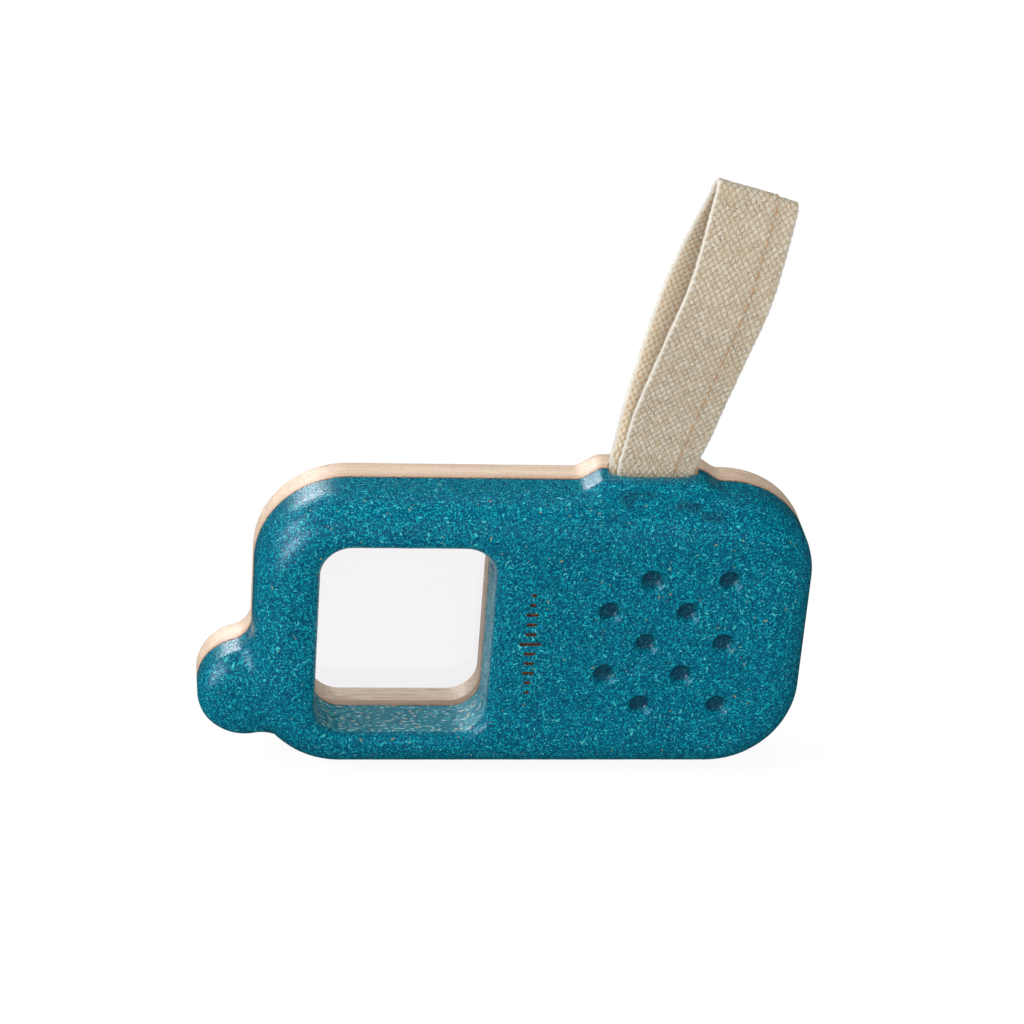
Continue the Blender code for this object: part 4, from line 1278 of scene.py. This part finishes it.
# ------------------------------------------------------------ stage, light, camera
def make_floor():
    """Pale floor: what the camera sees is near white with a faint shadow, reflections of it are dim."""
    n = Nodes("pale_floor")
    a = n.noise(n.coords_mm(), 0.02, 2.0, 0.5)
    col = n.mix(a, (0.12, 0.12, 0.12), (0.13, 0.13, 0.13))
    lp = n.add("ShaderNodeLightPath")
    glossy = n.math("MULTIPLY", lp.outputs["Is Glossy Ray"], n.math("SUBTRACT", 1.0, lp.outputs["Is Transmission Ray"]))
    col = n.mix(glossy, col, (0.01, 0.01, 0.01))
    s = n.principled(Base_Color=col, Roughness=0.9)
    s.inputs["Specular IOR Level"].default_value = 0.0
    s.inputs["Emission Color"].default_value = (1, 1, 1, 1)
    g = n.mixf(glossy, FLOOR_SEEN, FLOOR_GLOSS)
    n.put(s.inputs["Emission Strength"], n.mixf(lp.outputs["Is Diffuse Ray"], g, FLOOR_LIGHT))
    mat = n.done(s.outputs[0])
    z = _lo.z - 0.0002
    k = 24
    v = [(-6 + 12 * i / k, -6 + 12 * j / k, z) for i in range(k + 1) for j in range(k + 1)]
    f = [(i * (k + 1) + j, (i + 1) * (k + 1) + j, (i + 1) * (k + 1) + j + 1, i * (k + 1) + j + 1)
         for i in range(k) for j in range(k)]
    me = bpy.data.meshes.new("floor")
    me.from_pydata(v, [], f)
    me.materials.append(mat)
    ob = bpy.data.objects.new("floor", me)
    bpy.context.scene.collection.objects.link(ob)


FLOOR_SEEN, FLOOR_GLOSS, FLOOR_LIGHT = 0.91, 0.01, 0.30
make_floor()
AIM = Vector((0.0, 0.0, 0.04))


def area(name, loc, size, power, colour=(1, 1, 1)):
    li = bpy.data.lights.new(name, "AREA")
    li.shape, li.size, li.size_y, li.energy, li.color = "RECTANGLE", size[0], size[1], power, colour
    ob = bpy.data.objects.new(name, li)
    ob.location = loc
    ob.rotation_euler = (AIM - Vector(loc)).to_track_quat("-Z", "Y").to_euler()
    bpy.context.scene.collection.objects.link(ob)
    return ob


for ob in (area("key_sheen", (-0.97, -0.20, 0.56), (0.34, 0.34), 5.5, (0.86, 0.90, 1.0)),
           area("window_sheen", (-0.85, -0.75, 0.10), (0.26, 0.5), 14.5, (0.78, 0.81, 1.0)),
           area("rim_sheen", (-0.50, 0.85, 0.58), (0.40, 0.28), 9.5, (0.97, 0.98, 1.0))):
    ob.visible_diffuse = False                    # only the glints along the pressed edges
for ob in (area("key", (-0.97, -0.20, 0.56), (0.28, 0.28), 5.7, (0.97, 0.97, 1.0)),
           area("rim", (-0.80, 0.42, 0.52), (0.22, 0.22), 2.0),
           area("top", (0.15, 0.25, 1.15), (0.6, 0.5), 2.0),
           area("front", (-0.08, -1.13, 0.62), (0.5, 0.4), 8.2),
           area("fill", (0.10, -1.10, 0.02), (0.5, 0.3), 3.5)):
    ob.visible_glossy = False                     # no veil of reflection over the dark composite

w = bpy.data.worlds.new("studio")
bpy.context.scene.world = w
w.use_nodes = True
t = w.node_tree
bg = t.nodes["Background"]
bg.inputs[0].default_value = (1, 1, 1, 1)
lp = t.nodes.new("ShaderNodeLightPath")
geo = t.nodes.new("ShaderNodeNewGeometry")
dot = t.nodes.new("ShaderNodeVectorMath")
dot.operation = "DOT_PRODUCT"
dot.inputs[1].default_value = Vector((-0.55, 0.35, 0.75)).normalized()      # brighter above and to the left
t.links.new(geo.outputs["Incoming"], dot.inputs[0])
ramp = t.nodes.new("ShaderNodeMapRange")
ramp.inputs["From Min"].default_value, ramp.inputs["From Max"].default_value = 1.0, -1.0
ramp.inputs["To Min"].default_value, ramp.inputs["To Max"].default_value = 0.02, 0.50
t.links.new(dot.outputs["Value"], ramp.inputs["Value"])
dim = t.nodes.new("ShaderNodeMath")
dim.operation = "MULTIPLY"
t.links.new(ramp.outputs[0], dim.inputs[0])
gl = t.nodes.new("ShaderNodeMapRange")
gl.inputs["To Min"].default_value, gl.inputs["To Max"].default_value = 1.0, 0.06
t.links.new(lp.outputs["Is Glossy Ray"], gl.inputs["Value"])
t.links.new(gl.outputs[0], dim.inputs[1])
seen = t.nodes.new("ShaderNodeMix")
seen.data_type = "FLOAT"
t.links.new(lp.outputs["Is Camera Ray"], seen.inputs[0])
t.links.new(dim.outputs[0], seen.inputs[2])
seen.inputs[3].default_value = 1.0
t.links.new(seen.outputs[0], bg.inputs[1])

CAM_F, YAW, PITCH, ROLL = 3205.37, 0.1466, 0.4908, 0.0792
CAM_TX, CAM_D, CAM_TZ = 45.47, 569.48, 48.30
fwd = Vector((math.sin(YAW) * math.cos(PITCH), math.cos(YAW) * math.cos(PITCH), -math.sin(PITCH)))
right = Vector((math.cos(YAW), -math.sin(YAW), 0))
up = right.cross(fwd)
r2 = right * math.cos(ROLL) + up * math.sin(ROLL)
u2 = up * math.cos(ROLL) - right * math.sin(ROLL)
loc = wv(CAM_TX, 0, CAM_TZ) - fwd * CAM_D * 0.001
cam = bpy.data.cameras.new("camera")
cam.sensor_width, cam.lens = 36.0, CAM_F / 1024 * 36.0
cam.clip_start, cam.clip_end = 0.01, 50.0
co = bpy.data.objects.new("camera", cam)
co.matrix_world = Matrix(((r2.x, u2.x, -fwd.x, loc.x), (r2.y, u2.y, -fwd.y, loc.y), (r2.z, u2.z, -fwd.z, loc.z), (0, 0, 0, 1)))
bpy.context.scene.collection.objects.link(co)
bpy.context.scene.camera = co
bpy.context.scene.view_settings.view_transform = "Standard"
